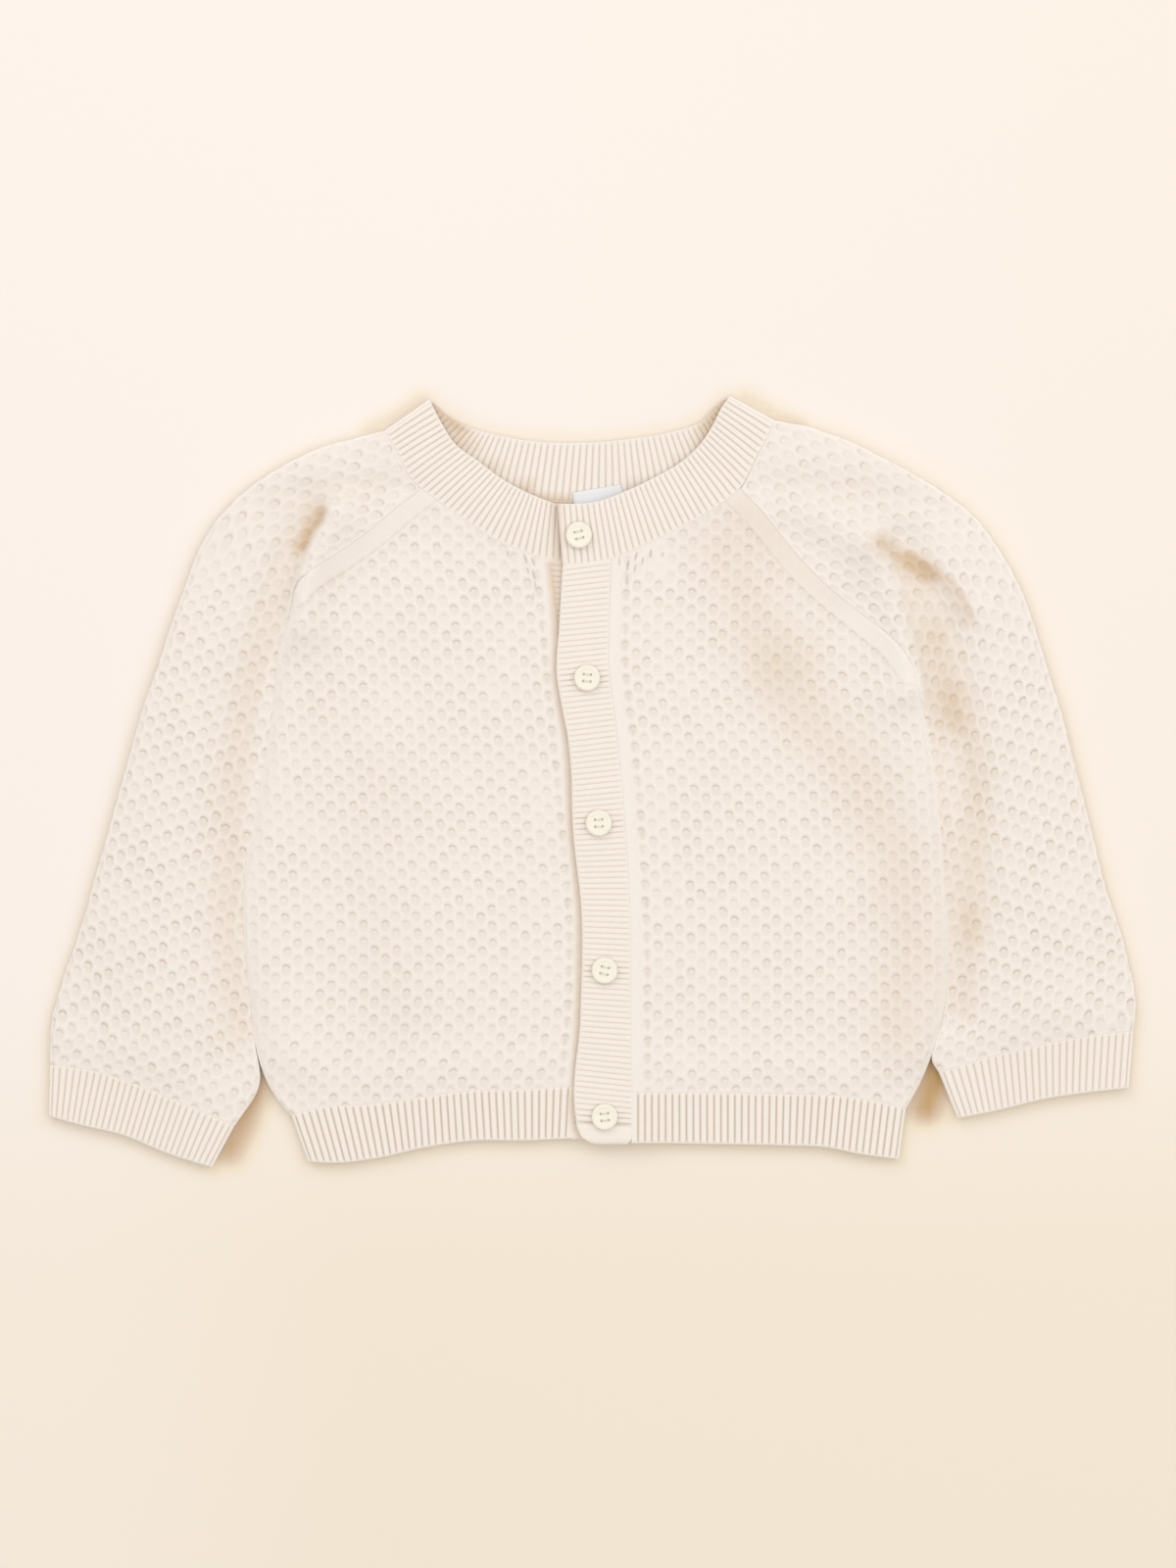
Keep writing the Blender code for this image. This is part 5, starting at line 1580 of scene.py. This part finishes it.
@dataclass
class Sleeve:
    """A raglan sleeve in honeycomb: open at its two raglan seams, and a tube from the underarm down."""

    cut: Cut
    side: Side
    comb: Honeycomb = Honeycomb(half_width=2.3, half_height=3.35, depth=0.36)
    finish: YarnFinish = YarnFinish(
        comb=Honeycomb(half_width=2.3, half_height=3.35, arch_radius=1.16, arch_width=0.54),
        inside_tone=0.22,
        arch_tone=0.34,
    )
    sway: tuple = (0.9, 1.1)
    seam_radius: float = 0.35
    pressed: float = 0.8
    tucked: float = 5.0
    turn_columns: tuple = (7, 5)
    underside_stretch: float = 1.2
    measured_column: int = 40
    side_border: tuple = (14.0, 9.0)
    shoulder_rows: tuple = (45.0, 105.0)
    shoulder_calm: float = 0.3

    def lay(self) -> tuple:
        """Lays the rows from the neck seam down to the cuff seam.

        Returns:
            The cloth, the length of its upper side in each row, and the number of the underarm row.
        """
        cut, side = self.cut, self.side
        table = cut.stations(side)
        last = len(table) - 1
        at = rows_down((table[:, :2] + table[:, 2:]) / 2, STITCH_STEP)
        points = smooth(range(len(table)), table, at)
        front, outer = points[:, :2], points[:, 2:]
        corner = np.array(BACK_CORNERS[side])
        share = np.clip(at / UNDERARM, 0, 1)[:, None]
        back = np.where(at[:, None] < UNDERARM, corner + (table[UNDERARM, :2] - corner) * share, front)
        near_neck, near_cuff = (np.clip(s, 0, 1)[:, None, None] for s in (1 - at, at - (last - 1)))
        cuff = bow(cut.cuff(side).line(0.0))
        strip, end = (cut.neck_right, 1.0) if side is Side.RIGHT else (cut.neck_left, 0.0)
        neck = bow(strip.line(1.0, strip.share_near(table[0, :2], 1.0), end))
        nape = bow(cut.neck_back.line(1.0, 1.0 - end, cut.back_corner_shares()[side is Side.LEFT]))
        turn = cut.turn_at(at)
        closed = (at >= UNDERARM).astype(float)
        below = between(UNDERARM - 1.0, float(UNDERARM), at)
        below = below * (1 - between(BODY_STATIONS - 3.0, BODY_STATIONS - 1.0, at))
        lap = 1 + self.tucked * column(below, len(at))
        limit = cut.press(self.pressed, at)
        land = Landscape(cut.land.folds + tuple(SLEEVE_TUCKS.values()))
        top = Run(
            land,
            lambda s: chord(front, outer)(s) + neck(s) * near_neck + cuff(s) * near_cuff,
            len(at),
            Layer.UPPER,
            side.value,
            (turn, QUARTER_TURN),
            (lap, False),
            joined=(closed * lap[:, 0], None),
            limits=(limit, None),
        )
        under = Run(
            land,
            lambda s: chord(outer, back)(s) + nape(s) * near_neck + cuff(1 - s) * near_cuff,
            len(at),
            Layer.LOWER,
            side.value,
            (QUARTER_TURN, turn),
            (False, True),
            joined=(None, closed),
            limits=(None, limit),
        )
        above, beneath = self.turn_columns
        middle = round(float(top.length.max()) / UNDERSIDE_STEP / self.underside_stretch)
        parts = [
            top.spread(above, above, STITCH_STEP),
            under.at(under.columns(beneath, middle, beneath)),
        ]
        return join(parts), top.length, int(np.argmax(at >= UNDERARM))

    def build(self) -> None:
        """Makes the piece."""
        laid, top_length, underarm = self.lay()
        middle = laid.points[:, self.measured_column, :2]
        steps = np.hypot(*np.diff(middle, axis=0).T)
        down = np.concatenate([[0.0], np.cumsum(steps)])[:, None]
        u = laid.arcs - top_length / 2
        v = np.broadcast_to(-down, u.shape)
        phase = 3.0 if self.side is Side.RIGHT else 6.0
        u, v = u + self.sway[0] * wander(u, v, phase), v + self.sway[1] * wander(v, u, phase)
        fall, nearest = border_fall(laid, (0, 0, self.seam_radius, self.seam_radius))
        side_gap = np.minimum(laid.arcs, laid.arcs[:, -1:] - laid.arcs)
        open_rows = (np.arange(len(laid.arcs)) < underarm)[:, None]
        calm = 1 - (1 - flatness(laid)) * between(*self.side_border, side_gap)
        side_gap = np.where(open_rows, side_gap, np.inf)
        fall = np.maximum(fall, rounding(side_gap, self.seam_radius))
        nearest = np.minimum(nearest, side_gap)
        shoulder = self.shoulder_calm * between(*self.shoulder_rows, laid.points[..., 1])
        comb = between(*SEAM_BORDER, nearest) * (1 - shoulder)
        painted_shade = shade_at(SLEEVE_SHADE, laid) * (laid.normals[..., 2] > -0.5)
        name = f"{side_name(self.side)}_sleeve"
        wall = Wall(
            f"{name}_knit",
            laid,
            self.comb.relief(u, v) * comb * calm + fall,
            {"comb": comb, "hollow": seam_shade(nearest), "painted_shade": painted_shade, "rim": rim_light(laid)},
            (u, v),
            self.finish,
            step=(6, 6),
            closed_from=underarm,
        )
        sew(wall, name)


@dataclass
class RibbedPiece:
    """A strip of ribbing, made of runs laid end to end, with its ribs across the strip."""

    node: str
    runs: list
    pitches: list
    ribs: Ribbing = Ribbing()
    finish: YarnFinish = YarnFinish()
    radii: tuple = (0.0, 0.0, 0.35, 0.9)
    closed: bool = False
    inner_ribs: bool = False
    inner_swell: float = 0.12
    rests_on: tuple = ()
    pulled_by: tuple = ()
    shade_above: dict = field(default_factory=dict)
    shade_below: dict = field(default_factory=dict)
    plain_step: float = 0.8
    pull: float = 1.6
    pull_reach: tuple = (11.0, 3.6)
    deepest: float = 1.5

    def build(self) -> None:
        """Makes the piece."""
        parts, turns, start = [], [], 0.0
        for run, pitch in zip(self.runs, self.pitches):
            if pitch is None:
                arcs = run.columns(2, max(2, round(float(run.length[0, 0]) / self.plain_step)), 2)
                count = 1
                shares = np.full(arcs.shape[1], 0.5)
            else:
                count = round(float(run.length[run.rows // 2, 0]) / pitch)
                marks = self.ribs.marks(count)
                arcs = marks[None, :] * run.length
                shares = marks * count
            skip = 1 if parts else 0
            parts.append(run.at(arcs))
            turns.append(start + shares[skip:])
            start += count
        laid = join(parts)
        turn = np.broadcast_to(np.concatenate(turns), laid.arcs.shape)
        depth, hollow = self.ribs.relief(turn)
        fall, nearest = border_fall(laid, self.radii)
        calm = between(0.2, 1.4, nearest)
        # painted shade in the grooves (hollow), deeper where a button pulls the ribs together
        for spot in self.pulled_by:
            across, along = ((laid.points[..., :2] - spot) / self.pull_reach).transpose(2, 0, 1)
            hollow = hollow * (1 + self.pull * np.exp(-(across**4) - along**4))
        painted_shade = shade_at(self.shade_above, laid) * (laid.normals[..., 2] > 0.5)
        painted_shade = painted_shade + shade_at(self.shade_below, laid) * (laid.normals[..., 2] < -0.5)
        mean_pitch = np.mean([pitch for pitch in self.pitches if pitch])
        wall = Wall(
            f"{self.node}_knit",
            laid,
            np.minimum(depth * (0.35 + 0.65 * calm) + fall, self.deepest),
            {"hollow": np.clip(hollow * calm, 0, 1), "painted_shade": painted_shade, "rim": rim_light(laid)},
            (turn * mean_pitch, -down_rows(laid.points)),
            self.finish,
            depth * calm - self.inner_swell if self.inner_ribs else 0.0,
            step=(2, 1) if self.inner_ribs else (5, 5),
            closed_from=0 if self.closed else None,
            both_faces=("hollow", "painted_shade") if self.inner_ribs else (),
        )
        sew(wall, self.node)


@dataclass
class Trim:
    """All the ribbed strips: neckband, front bands, hems and cuffs."""

    cut: Cut
    # dark is the colour of the painted shade in the rib grooves
    finish: YarnFinish = YarnFinish(colour=(0.880, 0.833, 0.793), dark=(0.53, 0.42, 0.34))
    soft_ribs: Ribbing = Ribbing(depth=0.28, groove=0.11, tone=0.32)
    round_ribs: Ribbing = Ribbing(depth=0.5, tone=0.5)
    hem_pitch: float = 2.975
    cuff_pitches: tuple = (2.71, 2.95)
    neck_pitches: tuple = (2.65, 2.99, 2.72)
    band_pitch: float = 2.37
    band_ends: tuple = (0.97, 0.96)
    neck_slit: float = 0.3
    band_slit: float = 0.6
    slit_length: float = 13.0
    slit_half_height: float = 0.4
    edge_rows: tuple = (0.0, 0.25, 0.6, 1.1)
    inner_border: float = 2.0
    inner_rows: int = 8

    def across(self, strip: Strip, seam_first: bool = True) -> Array:
        """Chooses a strip's rows, closer together at the edges and linked past the seam.

        Args:
            strip: The strip.
            seam_first: Whether the seam is at its first edge.

        Returns:
            Shares of its width, as a column.
        """
        edge = np.array(self.edge_rows) / strip.width
        border = self.inner_border / strip.width
        inner = np.linspace(border, 1 - border, self.inner_rows)
        shares = np.concatenate([edge, inner, 1 - edge[::-1]])
        link = LINK / strip.width
        return (shares * (1 + link) - (link if seam_first else 0.0))[:, None]

    def hem(self, name: str, strip: Strip, layer: Layer, lap: Lap) -> RibbedPiece:
        """Cuts a ribbed hem, from the side fold to the front band or across the whole back.

        Args:
            name: Its node.
            strip: Its place.
            layer: The layer that it lies in.
            lap: The front that it goes with.

        Returns:
            The hem.
        """
        rows = self.across(strip)
        upper = layer is Layer.UPPER
        turns = (QUARTER_TURN, 0.0) if upper else (QUARTER_TURN, QUARTER_TURN)
        run = Run(self.cut.land, strip.line(rows), len(rows), layer, lap, turns)
        return RibbedPiece(
            name,
            [run],
            [self.hem_pitch],
            finish=self.finish,
            radii=(0.3, 0.3, 0.35, 0.9),
            inner_ribs=not upper,
            rests_on=("back_hem_rib",) if upper else (),
            shade_above=PLACKET_SHADE if upper else {},
        )

    def cuff(self, side: Side) -> RibbedPiece:
        """Cuts a ribbed tube for the end of a sleeve.

        Args:
            side: The sleeve's side.

        Returns:
            The cuff.
        """
        strip = self.cut.cuff(side)
        rows = self.across(strip)
        turns, whole = (QUARTER_TURN, QUARTER_TURN), (False, False)
        land, lap, count = self.cut.land, side.value, len(rows)
        return RibbedPiece(
            f"{side_name(side)}_cuff",
            [
                Run(land, strip.line(rows), count, Layer.UPPER, lap, turns, whole),
                Run(land, strip.line(rows, 1.0, 0.0), count, Layer.LOWER, lap, turns, whole),
            ],
            [self.cuff_pitches[side is Side.LEFT]] * 2,
            ribs=self.round_ribs,
            finish=self.finish,
            closed=True,
        )

    def neckband(self) -> RibbedPiece:
        """Cuts one strip round the neck, its upper end lapped over its under end.

        Returns:
            The neckband.
        """
        cut = self.cut
        rows = self.across(cut.neck_back, seam_first=False)
        right, left = square_to(NECK_BACK[0]), -square_to(NECK_BACK[-1])
        turn, whole = QUARTER_TURN, (False, False)
        runs = [
            Run(cut.land, strip.line(rows), len(rows), layer, lap, turns, whole, aims)
            for strip, layer, lap, turns, aims in (
                (cut.neck_right, Layer.UPPER, Lap.UNDER, (0.0, turn), (None, right)),
                (cut.neck_back, Layer.LOWER, Lap.UNDER, (turn, turn), (right, left)),
                (cut.neck_left, Layer.UPPER, Lap.OVER, (turn, 0.0), (left, None)),
            )
        ]
        return RibbedPiece(
            "neckband",
            runs,
            list(self.neck_pitches),
            ribs=self.round_ribs,
            shade_above=LAP_SHADE,
            shade_below=NECK_SHADE,
            finish=self.with_slits(BUTTONS[:1], self.neck_slit),
            radii=(0.5, 0.8, 0.9, 0.35),
            inner_ribs=True,
        )

    def band(self, name: str, strip: Strip, lap: Lap, hem_end: float) -> RibbedPiece:
        """Cuts a ribbed band up the front, with a plain end of cloth at the hem.

        Args:
            name: Its node.
            strip: Its place.
            lap: The front that it is on.
            hem_end: Share of its length at which the ribs end.

        Returns:
            The band.
        """
        over = lap is Lap.OVER
        rows = self.across(strip, seam_first=not over)
        land, count = self.cut.land, len(rows)
        return RibbedPiece(
            name,
            [
                Run(land, strip.line(rows, 0.0, hem_end), count, Layer.UPPER, lap, gaps=(True, False)),
                Run(land, strip.line(rows, hem_end, 1.0), count, Layer.UPPER, lap, gaps=(False, False)),
            ],
            [self.band_pitch, None],
            ribs=self.soft_ribs,
            pulled_by=tuple(BUTTONS[1:]) if over else (),
            finish=self.with_slits(BUTTONS[1:], self.band_slit) if over else self.finish,
            radii=(0.35, 0.9, 0.9 if over else 0.35, 0.35 if over else 0.9),
            rests_on=("button_band",) if over else ("back_panel",),
            shade_above={} if over else PLACKET_SHADE,
        )

    def with_slits(self, spots: Sequence[Spot], strength: float) -> YarnFinish:
        """The finish with a slit behind each button, painted dark as the shade inside it, and how much the
        slits show.
        """
        size = (self.slit_length / 2, self.slit_half_height)
        return replace(self.finish, slits=tuple(Slit(*spot, *size, 0.0, strength) for spot in spots))

    def build(self) -> None:
        """Makes all the strips."""
        for side in Side:
            self.cuff(side).build()
            name = f"{side_name(side)}_front_hem_rib"
            self.hem(name, self.cut.hem(side), Layer.UPPER, side.value).build()
        self.hem("back_hem_rib", self.cut.back_hem, Layer.LOWER, Lap.UNDER).build()
        self.band("button_band", self.cut.button_band, Lap.UNDER, self.band_ends[0]).build()
        self.band("buttonhole_band", self.cut.buttonhole_band, Lap.OVER, self.band_ends[1]).build()
        self.neckband().build()


def square_to(pair: Pair) -> Array:
    """The direction in plan at right angles to the line between a pair's points, to the right of it."""
    across = np.array([pair.second_x - pair.first_x, pair.second_y - pair.first_y])
    return np.array([across[1], -across[0]]) / np.hypot(*across)


@dataclass
class ButtonSet:
    """Turned buttons with a raised rim and four holes, sewn on with thread."""

    land: Landscape
    finish: PlasticFinish = PlasticFinish()
    thread: ThreadFinish = ThreadFinish()
    radius: float = 5.65
    hole_radius: float = 0.56
    hole_ring: float = 2.1
    seat: float = 0.3
    sides: int = 72
    bevel: float = 0.1
    turns: tuple = (14.0, -4.0, 3.0, -12.0, 6.0)
    strand_radius: float = 0.15
    strand_pitch: float = 0.26
    bar_height: float = 1.86
    bar_arch: float = 0.14
    bar_end: float = 0.8
    plug_heights: tuple = (0.3, 1.35)
    profile: tuple = (
        (0.0, 0.0), (3.6, 0.0), (4.3, 0.05), (4.9, 0.22), (5.4, 0.5), (5.6, 0.85), (5.65, 1.2), (5.58, 1.55),
        (5.38, 1.85), (5.1, 2.05), (4.75, 2.13), (4.35, 2.11), (4.0, 2.03), (3.65, 1.93), (3.3, 1.87),
        (2.9, 1.85), (0.0, 1.85),
    )

    def base(self, spot: Spot) -> float:
        """Height of a button's underside: just above the highest cloth below it."""
        angles = np.linspace(0, FULL_TURN, 16, endpoint=False)
        x = np.append(spot.x + self.radius * np.cos(angles), spot.x)
        y = np.append(spot.y + self.radius * np.sin(angles), spot.y)
        return float(self.land.height(x, y, True).max()) + self.seat

    def disc(self) -> Mesh:
        """Turns a button round the origin and cuts its holes.

        Returns:
            The mesh.
        """
        edit = bmesh.new()
        rings = []
        for radius, height in self.profile:
            if radius == 0:
                rings.append([edit.verts.new((0, 0, height * MM))])
                continue
            angles = np.linspace(0, FULL_TURN, self.sides, endpoint=False)
            points = [Vector((radius * math.cos(a), radius * math.sin(a), height)) for a in angles]
            rings.append([edit.verts.new(point * MM) for point in points])
        for low, high in zip(rings, rings[1:]):
            for i in range(self.sides):
                j = (i + 1) % self.sides
                corners = [low[i % len(low)], low[j % len(low)], high[j % len(high)], high[i % len(high)]]
                edit.faces.new(list(dict.fromkeys(corners)))
        bmesh.ops.recalc_face_normals(edit, faces=edit.faces)
        thing = added("button_disc", mesh_from(edit, "button_disc"))
        holes = self.hole_cutter()
        cut = thing.modifiers.new("holes", "BOOLEAN")
        cut.operation, cut.solver, cut.object = "DIFFERENCE", "EXACT", holes
        bevel = thing.modifiers.new("soft_edges", "BEVEL")
        bevel.width, bevel.segments = self.bevel * MM, 2
        bevel.limit_method, bevel.angle_limit = "ANGLE", math.radians(50)
        graph = bpy.context.evaluated_depsgraph_get()
        done = bpy.data.meshes.new_from_object(thing.evaluated_get(graph))
        for item in (thing, holes):
            bpy.data.objects.remove(item)
        smooth_faces(done)
        done.set_sharp_from_angle(angle=math.radians(45))
        return done

    def hole_cutter(self) -> Thing:
        """Makes four upright pins through the holes.

        Returns:
            The pins.
        """
        edit, size = bmesh.new(), self.hole_radius * MM
        for quarter in range(4):
            angle = QUARTER_TURN * (quarter + 0.5)
            place = Vector((self.hole_ring * math.cos(angle), self.hole_ring * math.sin(angle), 1.0)) * MM
            made = bmesh.ops.create_cone(
                edit, cap_ends=True, segments=20, radius1=size, radius2=size, depth=6 * MM
            )
            bmesh.ops.translate(edit, verts=made["verts"], vec=place)
        return added("button_holes", mesh_from(edit, "button_holes"))

    def stitch_bars(self, place: Matrix) -> Mesh:
        """Makes two bars of thread, each of three strands, and the thread that fills the four holes.

        Args:
            place: Puts a point of the button in the frame.

        Returns:
            The mesh.
        """
        edit = bmesh.new()
        reach = self.hole_ring * math.sin(math.pi / 4)
        for side in (-1, 1):
            for strand in (-1, 0, 1):
                across = side * reach + strand * self.strand_pitch
                path = []
                for share in np.linspace(-1, 1, 13):
                    sunk = self.bar_end if abs(share) == 1 else 0.0
                    height = self.bar_height + self.bar_arch * (1 - share**2) - sunk
                    path.append(place @ (Vector((share * (reach - 0.2), across, height)) * MM))
                tube(edit, path, self.strand_radius * MM, 8)
            for along in (-reach, reach):
                ends = [Vector((along, side * reach, height)) * MM for height in self.plug_heights]
                tube(edit, [place @ point for point in ends], (self.hole_radius - 0.06) * MM, 12)
        mesh = mesh_from(edit, "thread")
        smooth_faces(mesh)
        return mesh

    def build(self) -> None:
        """Makes the five buttons and their thread."""
        disc = self.disc()
        disc.materials.append(self.finish.material("button_plastic"))
        thread = self.thread.material("button_thread")
        for number, (spot, turn) in enumerate(zip(BUTTONS, self.turns), start=1):
            place = Matrix.Translation(Vector((*spot, self.base(spot))) * MM)
            place = place @ Matrix.Rotation(math.radians(turn), 4, "Z")
            own, bars = disc.copy(), self.stitch_bars(place)
            own.transform(place)
            bars.materials.append(thread)
            dress(added(f"button_{number}_turned", own), [f"button_{number}"])
            dress(added(f"button_{number}_thread", bars), [])


def tube(edit: bmesh.types.BMesh, path: Sequence[Vector], radius: float, sides: int) -> None:
    """Adds a closed round tube along a path to a mesh.

    Args:
        edit: The mesh.
        path: The points that it follows.
        radius: Its radius, in the mesh's units.
        sides: The number of its sides.
    """
    rings = []
    for number, point in enumerate(path):
        ahead = path[min(number + 1, len(path) - 1)] - path[max(number - 1, 0)]
        ahead.normalize()
        side = ahead.cross(Vector((0, 0, 1)))
        if side.length < 1e-3:
            side = Vector((1, 0, 0))
        side.normalize()
        up = side.cross(ahead)
        ring = []
        for k in range(sides):
            angle = FULL_TURN * k / sides
            ring.append(edit.verts.new(point + (side * math.cos(angle) + up * math.sin(angle)) * radius))
        rings.append(ring)
    for low, high in zip(rings, rings[1:]):
        for i in range(sides):
            j = (i + 1) % sides
            edit.faces.new((low[i], low[j], high[j], high[i]))
    edit.faces.new(rings[0][::-1])
    edit.faces.new(rings[-1])


@dataclass
class NeckLabel:
    """A small bare satin label, sewn flat to the inside of the back neck along its upper edge."""

    finish: SatinFinish = SatinFinish()
    low: float = 2.32
    thickness: float = 0.5
    edge_radius: float = 0.3
    curl: float = 0.45
    wave: float = 0.12
    wave_turn: float = 7.0
    seam_allowance: float = 3.0
    columns: int = 25
    rows: int = 11

    def build(self) -> None:
        """Makes the piece."""
        share, across = np.meshgrid(np.linspace(0, 1, self.columns), np.linspace(0, 1, self.rows))
        plan = Strip(NECK_LABEL).at(share, across)
        lift = self.curl * across**2 + self.wave * np.sin(share * self.wave_turn) * across
        z = self.low + self.thickness + lift
        points = np.concatenate([plan, z[..., None]], -1)
        normals = np.broadcast_to(np.array([0.0, 0.0, 1.0]), points.shape)
        steps = np.linalg.norm(np.diff(points, axis=1), axis=-1)
        arcs = np.concatenate([np.zeros((self.rows, 1)), np.cumsum(steps, axis=1)], axis=1)
        laid = Laid(points, normals, np.full(arcs.shape, self.thickness), plan, arcs)
        fall, _ = border_fall(laid, (self.edge_radius,) * 4)
        wall = Wall("neck_label_satin", laid, fall, {}, (plan[..., 0], plan[..., 1]), self.finish)
        sew(wall, "neck_label", self.seam_allowance)


# ---- studio


@dataclass
class Studio:
    """A plain pale table under soft light, with the camera straight above. The table carries painted shadow
    round the cardigan and a painted falloff of the light towards its lower right.

    The table's painted shade is in millimetres, and the lamps and the camera are in metres.
    """

    floor_light: tuple = (0.885, 0.838, 0.82)
    # the table's colour where the painted falloff of the light is deepest, towards the bottom and the right
    floor_in_painted_shade: tuple = (0.835, 0.768, 0.672)
    # the colours of the painted shadow: brown in the deep gaps between cuffs and hems, warm in the halo round
    # the edges
    painted_gap_shadow: tuple = (0.47, 0.28, 0.09)
    painted_halo_shadow: tuple = (0.66, 0.52, 0.05)
    # how strong and how wide the painted shadow round the cardigan's edges is, and the part of the table that
    # carries it
    halo: float = 0.12
    halo_width: float = 4.5
    shaded_area: tuple = (270.0, 210.0)
    floor_reach: float = 6000.0
    frame_height: float = 0.672
    camera_height: float = 2.4
    centre: tuple = (-0.0021, -0.0008)
    sensor: float = 36.0
    backdrop: tuple = (1.0, 0.93, 0.83, 1)
    backdrop_strength: float = 0.67
    lamps: tuple = (
        ("key", (-0.9, 1.5, 1.6), (1.8, 1.4), 11.0, (0.96, 0.97, 1.0)),
        ("fill", (1.3, 0.9, 1.6), (1.8, 1.4), 8.8, (1.0, 0.98, 0.96)),
        ("overhead", (0.1, -0.3, 2.4), (2.8, 2.6), 18.0, (0.97, 0.97, 0.97)),
    )

    def outline(self) -> Fold:
        """Follows the line round the laid cardigan.

        Returns:
            The painted shadow of its edge on the table, as a warm halo.
        """
        right, left = (np.array(STATIONS[side]) for side in Side)
        line = [
            *right[::-1][:, 2:],
            *np.array(NECK_BACK)[:, :2],
            *left[:, 2:],
            *np.array(CUFFS[Side.LEFT])[::-1, 2:],
            *left[:BODY_STATIONS:-1, :2],
            *FLANKS[Side.LEFT],
            *np.array(HEMS[Side.LEFT])[:, 2:],
            *np.array(HEMS[Side.RIGHT])[::-1, 2:],
            *FLANKS[Side.RIGHT][::-1],
            *right[BODY_STATIONS + 1 :, :2],
            *np.array(CUFFS[Side.RIGHT])[:, 2:],
            right[-1, 2:],
        ]
        return Fold(self.halo, self.halo_width, self.halo_width, tuple(tuple(point) for point in line))

    def floor(self) -> None:
        """The surface that the cardigan lies on, with painted shadow round the cardigan and a painted falloff
        of the light.
        """
        mesh = bpy.data.meshes.new("table")
        near, far = np.linspace(-1.0, 1.0, 151), self.floor_reach
        x, y = np.meshgrid(*(np.concatenate([[-far], near * half, [far]]) for half in self.shaded_area))
        faces = quads_of(np.arange(x.size).reshape(x.shape))
        points = np.stack([x, y, np.zeros_like(x)], -1).reshape(-1, 3) * MM
        mesh.from_pydata(points.tolist(), [], faces.tolist())
        # painted shadow: a halo round the outline, and the strokes of TABLE_SHADE
        shade = self.outline().lift(x, y) + sum(stroke.lift(x, y) for stroke in TABLE_SHADE.values())
        shade = np.clip(shade, 0.0, 0.9).ravel().astype(np.float32)
        mesh.attributes.new("shade", "FLOAT", "POINT").data.foreach_set("value", shade)
        thing = added("table", mesh)
        shader = Shader("table_paint")
        x, y, _ = shader.place()
        # painted falloff of the light: darker and warmer towards the bottom and the right
        painted_falloff = shader.between(-70.0, -220.0, y) * (0.55 + 0.45 * shader.between(-240.0, -80.0, x))
        colour = shader.mix(painted_falloff, self.floor_light, self.floor_in_painted_shade)
        colour = shader.mix(shader.between(-120.0, 320.0, x) * 0.3, colour, self.floor_in_painted_shade)
        # the painted shadow, warm at its edge and brown where it is deep
        shade = shader.attribute("shade")
        tint = shader.mix(shader.between(0.12, 0.4, shade), self.painted_halo_shadow, self.painted_gap_shadow)
        colour = shader.mix(shade, colour, tint)
        mesh.materials.append(shader.finish(Base_Color=colour, Roughness=0.8, Specular_IOR_Level=0.15))
        thing.location.z = -0.0002

    def light(self, name: str, place: tuple, size: tuple, power: float, colour: tuple) -> None:
        """Hangs a soft rectangular lamp that faces the cardigan.

        Args:
            name: The lamp's name.
            place: Its place, in metres.
            size: Its width and length, in metres.
            power: Its power, in watts.
            colour: The colour of its light.
        """
        data = bpy.data.lights.new(name, "AREA")
        data.shape, data.size, data.size_y, data.energy, data.color = "RECTANGLE", *size, power, colour
        lamp = added(name, data)
        lamp.location = place
        lamp.rotation_mode = "QUATERNION"
        lamp.rotation_quaternion = (-Vector(place)).to_track_quat("-Z", "Y")

    def camera(self) -> None:
        """A camera that looks straight down at the whole cardigan."""
        data = bpy.data.cameras.new("camera")
        data.sensor_fit, data.sensor_width = "AUTO", self.sensor
        data.lens = self.sensor / 2 / (self.frame_height / 2 / self.camera_height)
        data.clip_start, data.clip_end = 0.01, 50.0
        camera = added("camera", data)
        camera.location = (*self.centre, self.camera_height)
        bpy.context.scene.camera = camera

    def build(self) -> None:
        """Sets up the table, the light and the camera."""
        self.floor()
        self.camera()
        for lamp in self.lamps:
            self.light(*lamp)
        world = bpy.data.worlds.new("studio")
        world.use_nodes = True
        backdrop = world.node_tree.nodes["Background"]
        backdrop.inputs[0].default_value = self.backdrop
        backdrop.inputs[1].default_value = self.backdrop_strength
        bpy.context.scene.world = world
        bpy.context.scene.view_settings.view_transform = "Standard"
        bpy.context.scene.view_settings.look = "None"


def main() -> None:
    """Builds the cardigan and the studio in order."""
    logging.basicConfig(level=logging.INFO, format="%(message)s")
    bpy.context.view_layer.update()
    cut = Cut(Landscape((*MAIN_FOLDS.values(), *SHARP_FOLDS.values())))
    Studio().build()
    BackPanel(cut).build()
    for side in Side:
        FrontPanel(cut, side).build()
        Sleeve(cut, side).build()
    Trim(cut).build()
    NeckLabel().build()
    ButtonSet(cut.land).build()


if __name__ == "__main__":
    main()
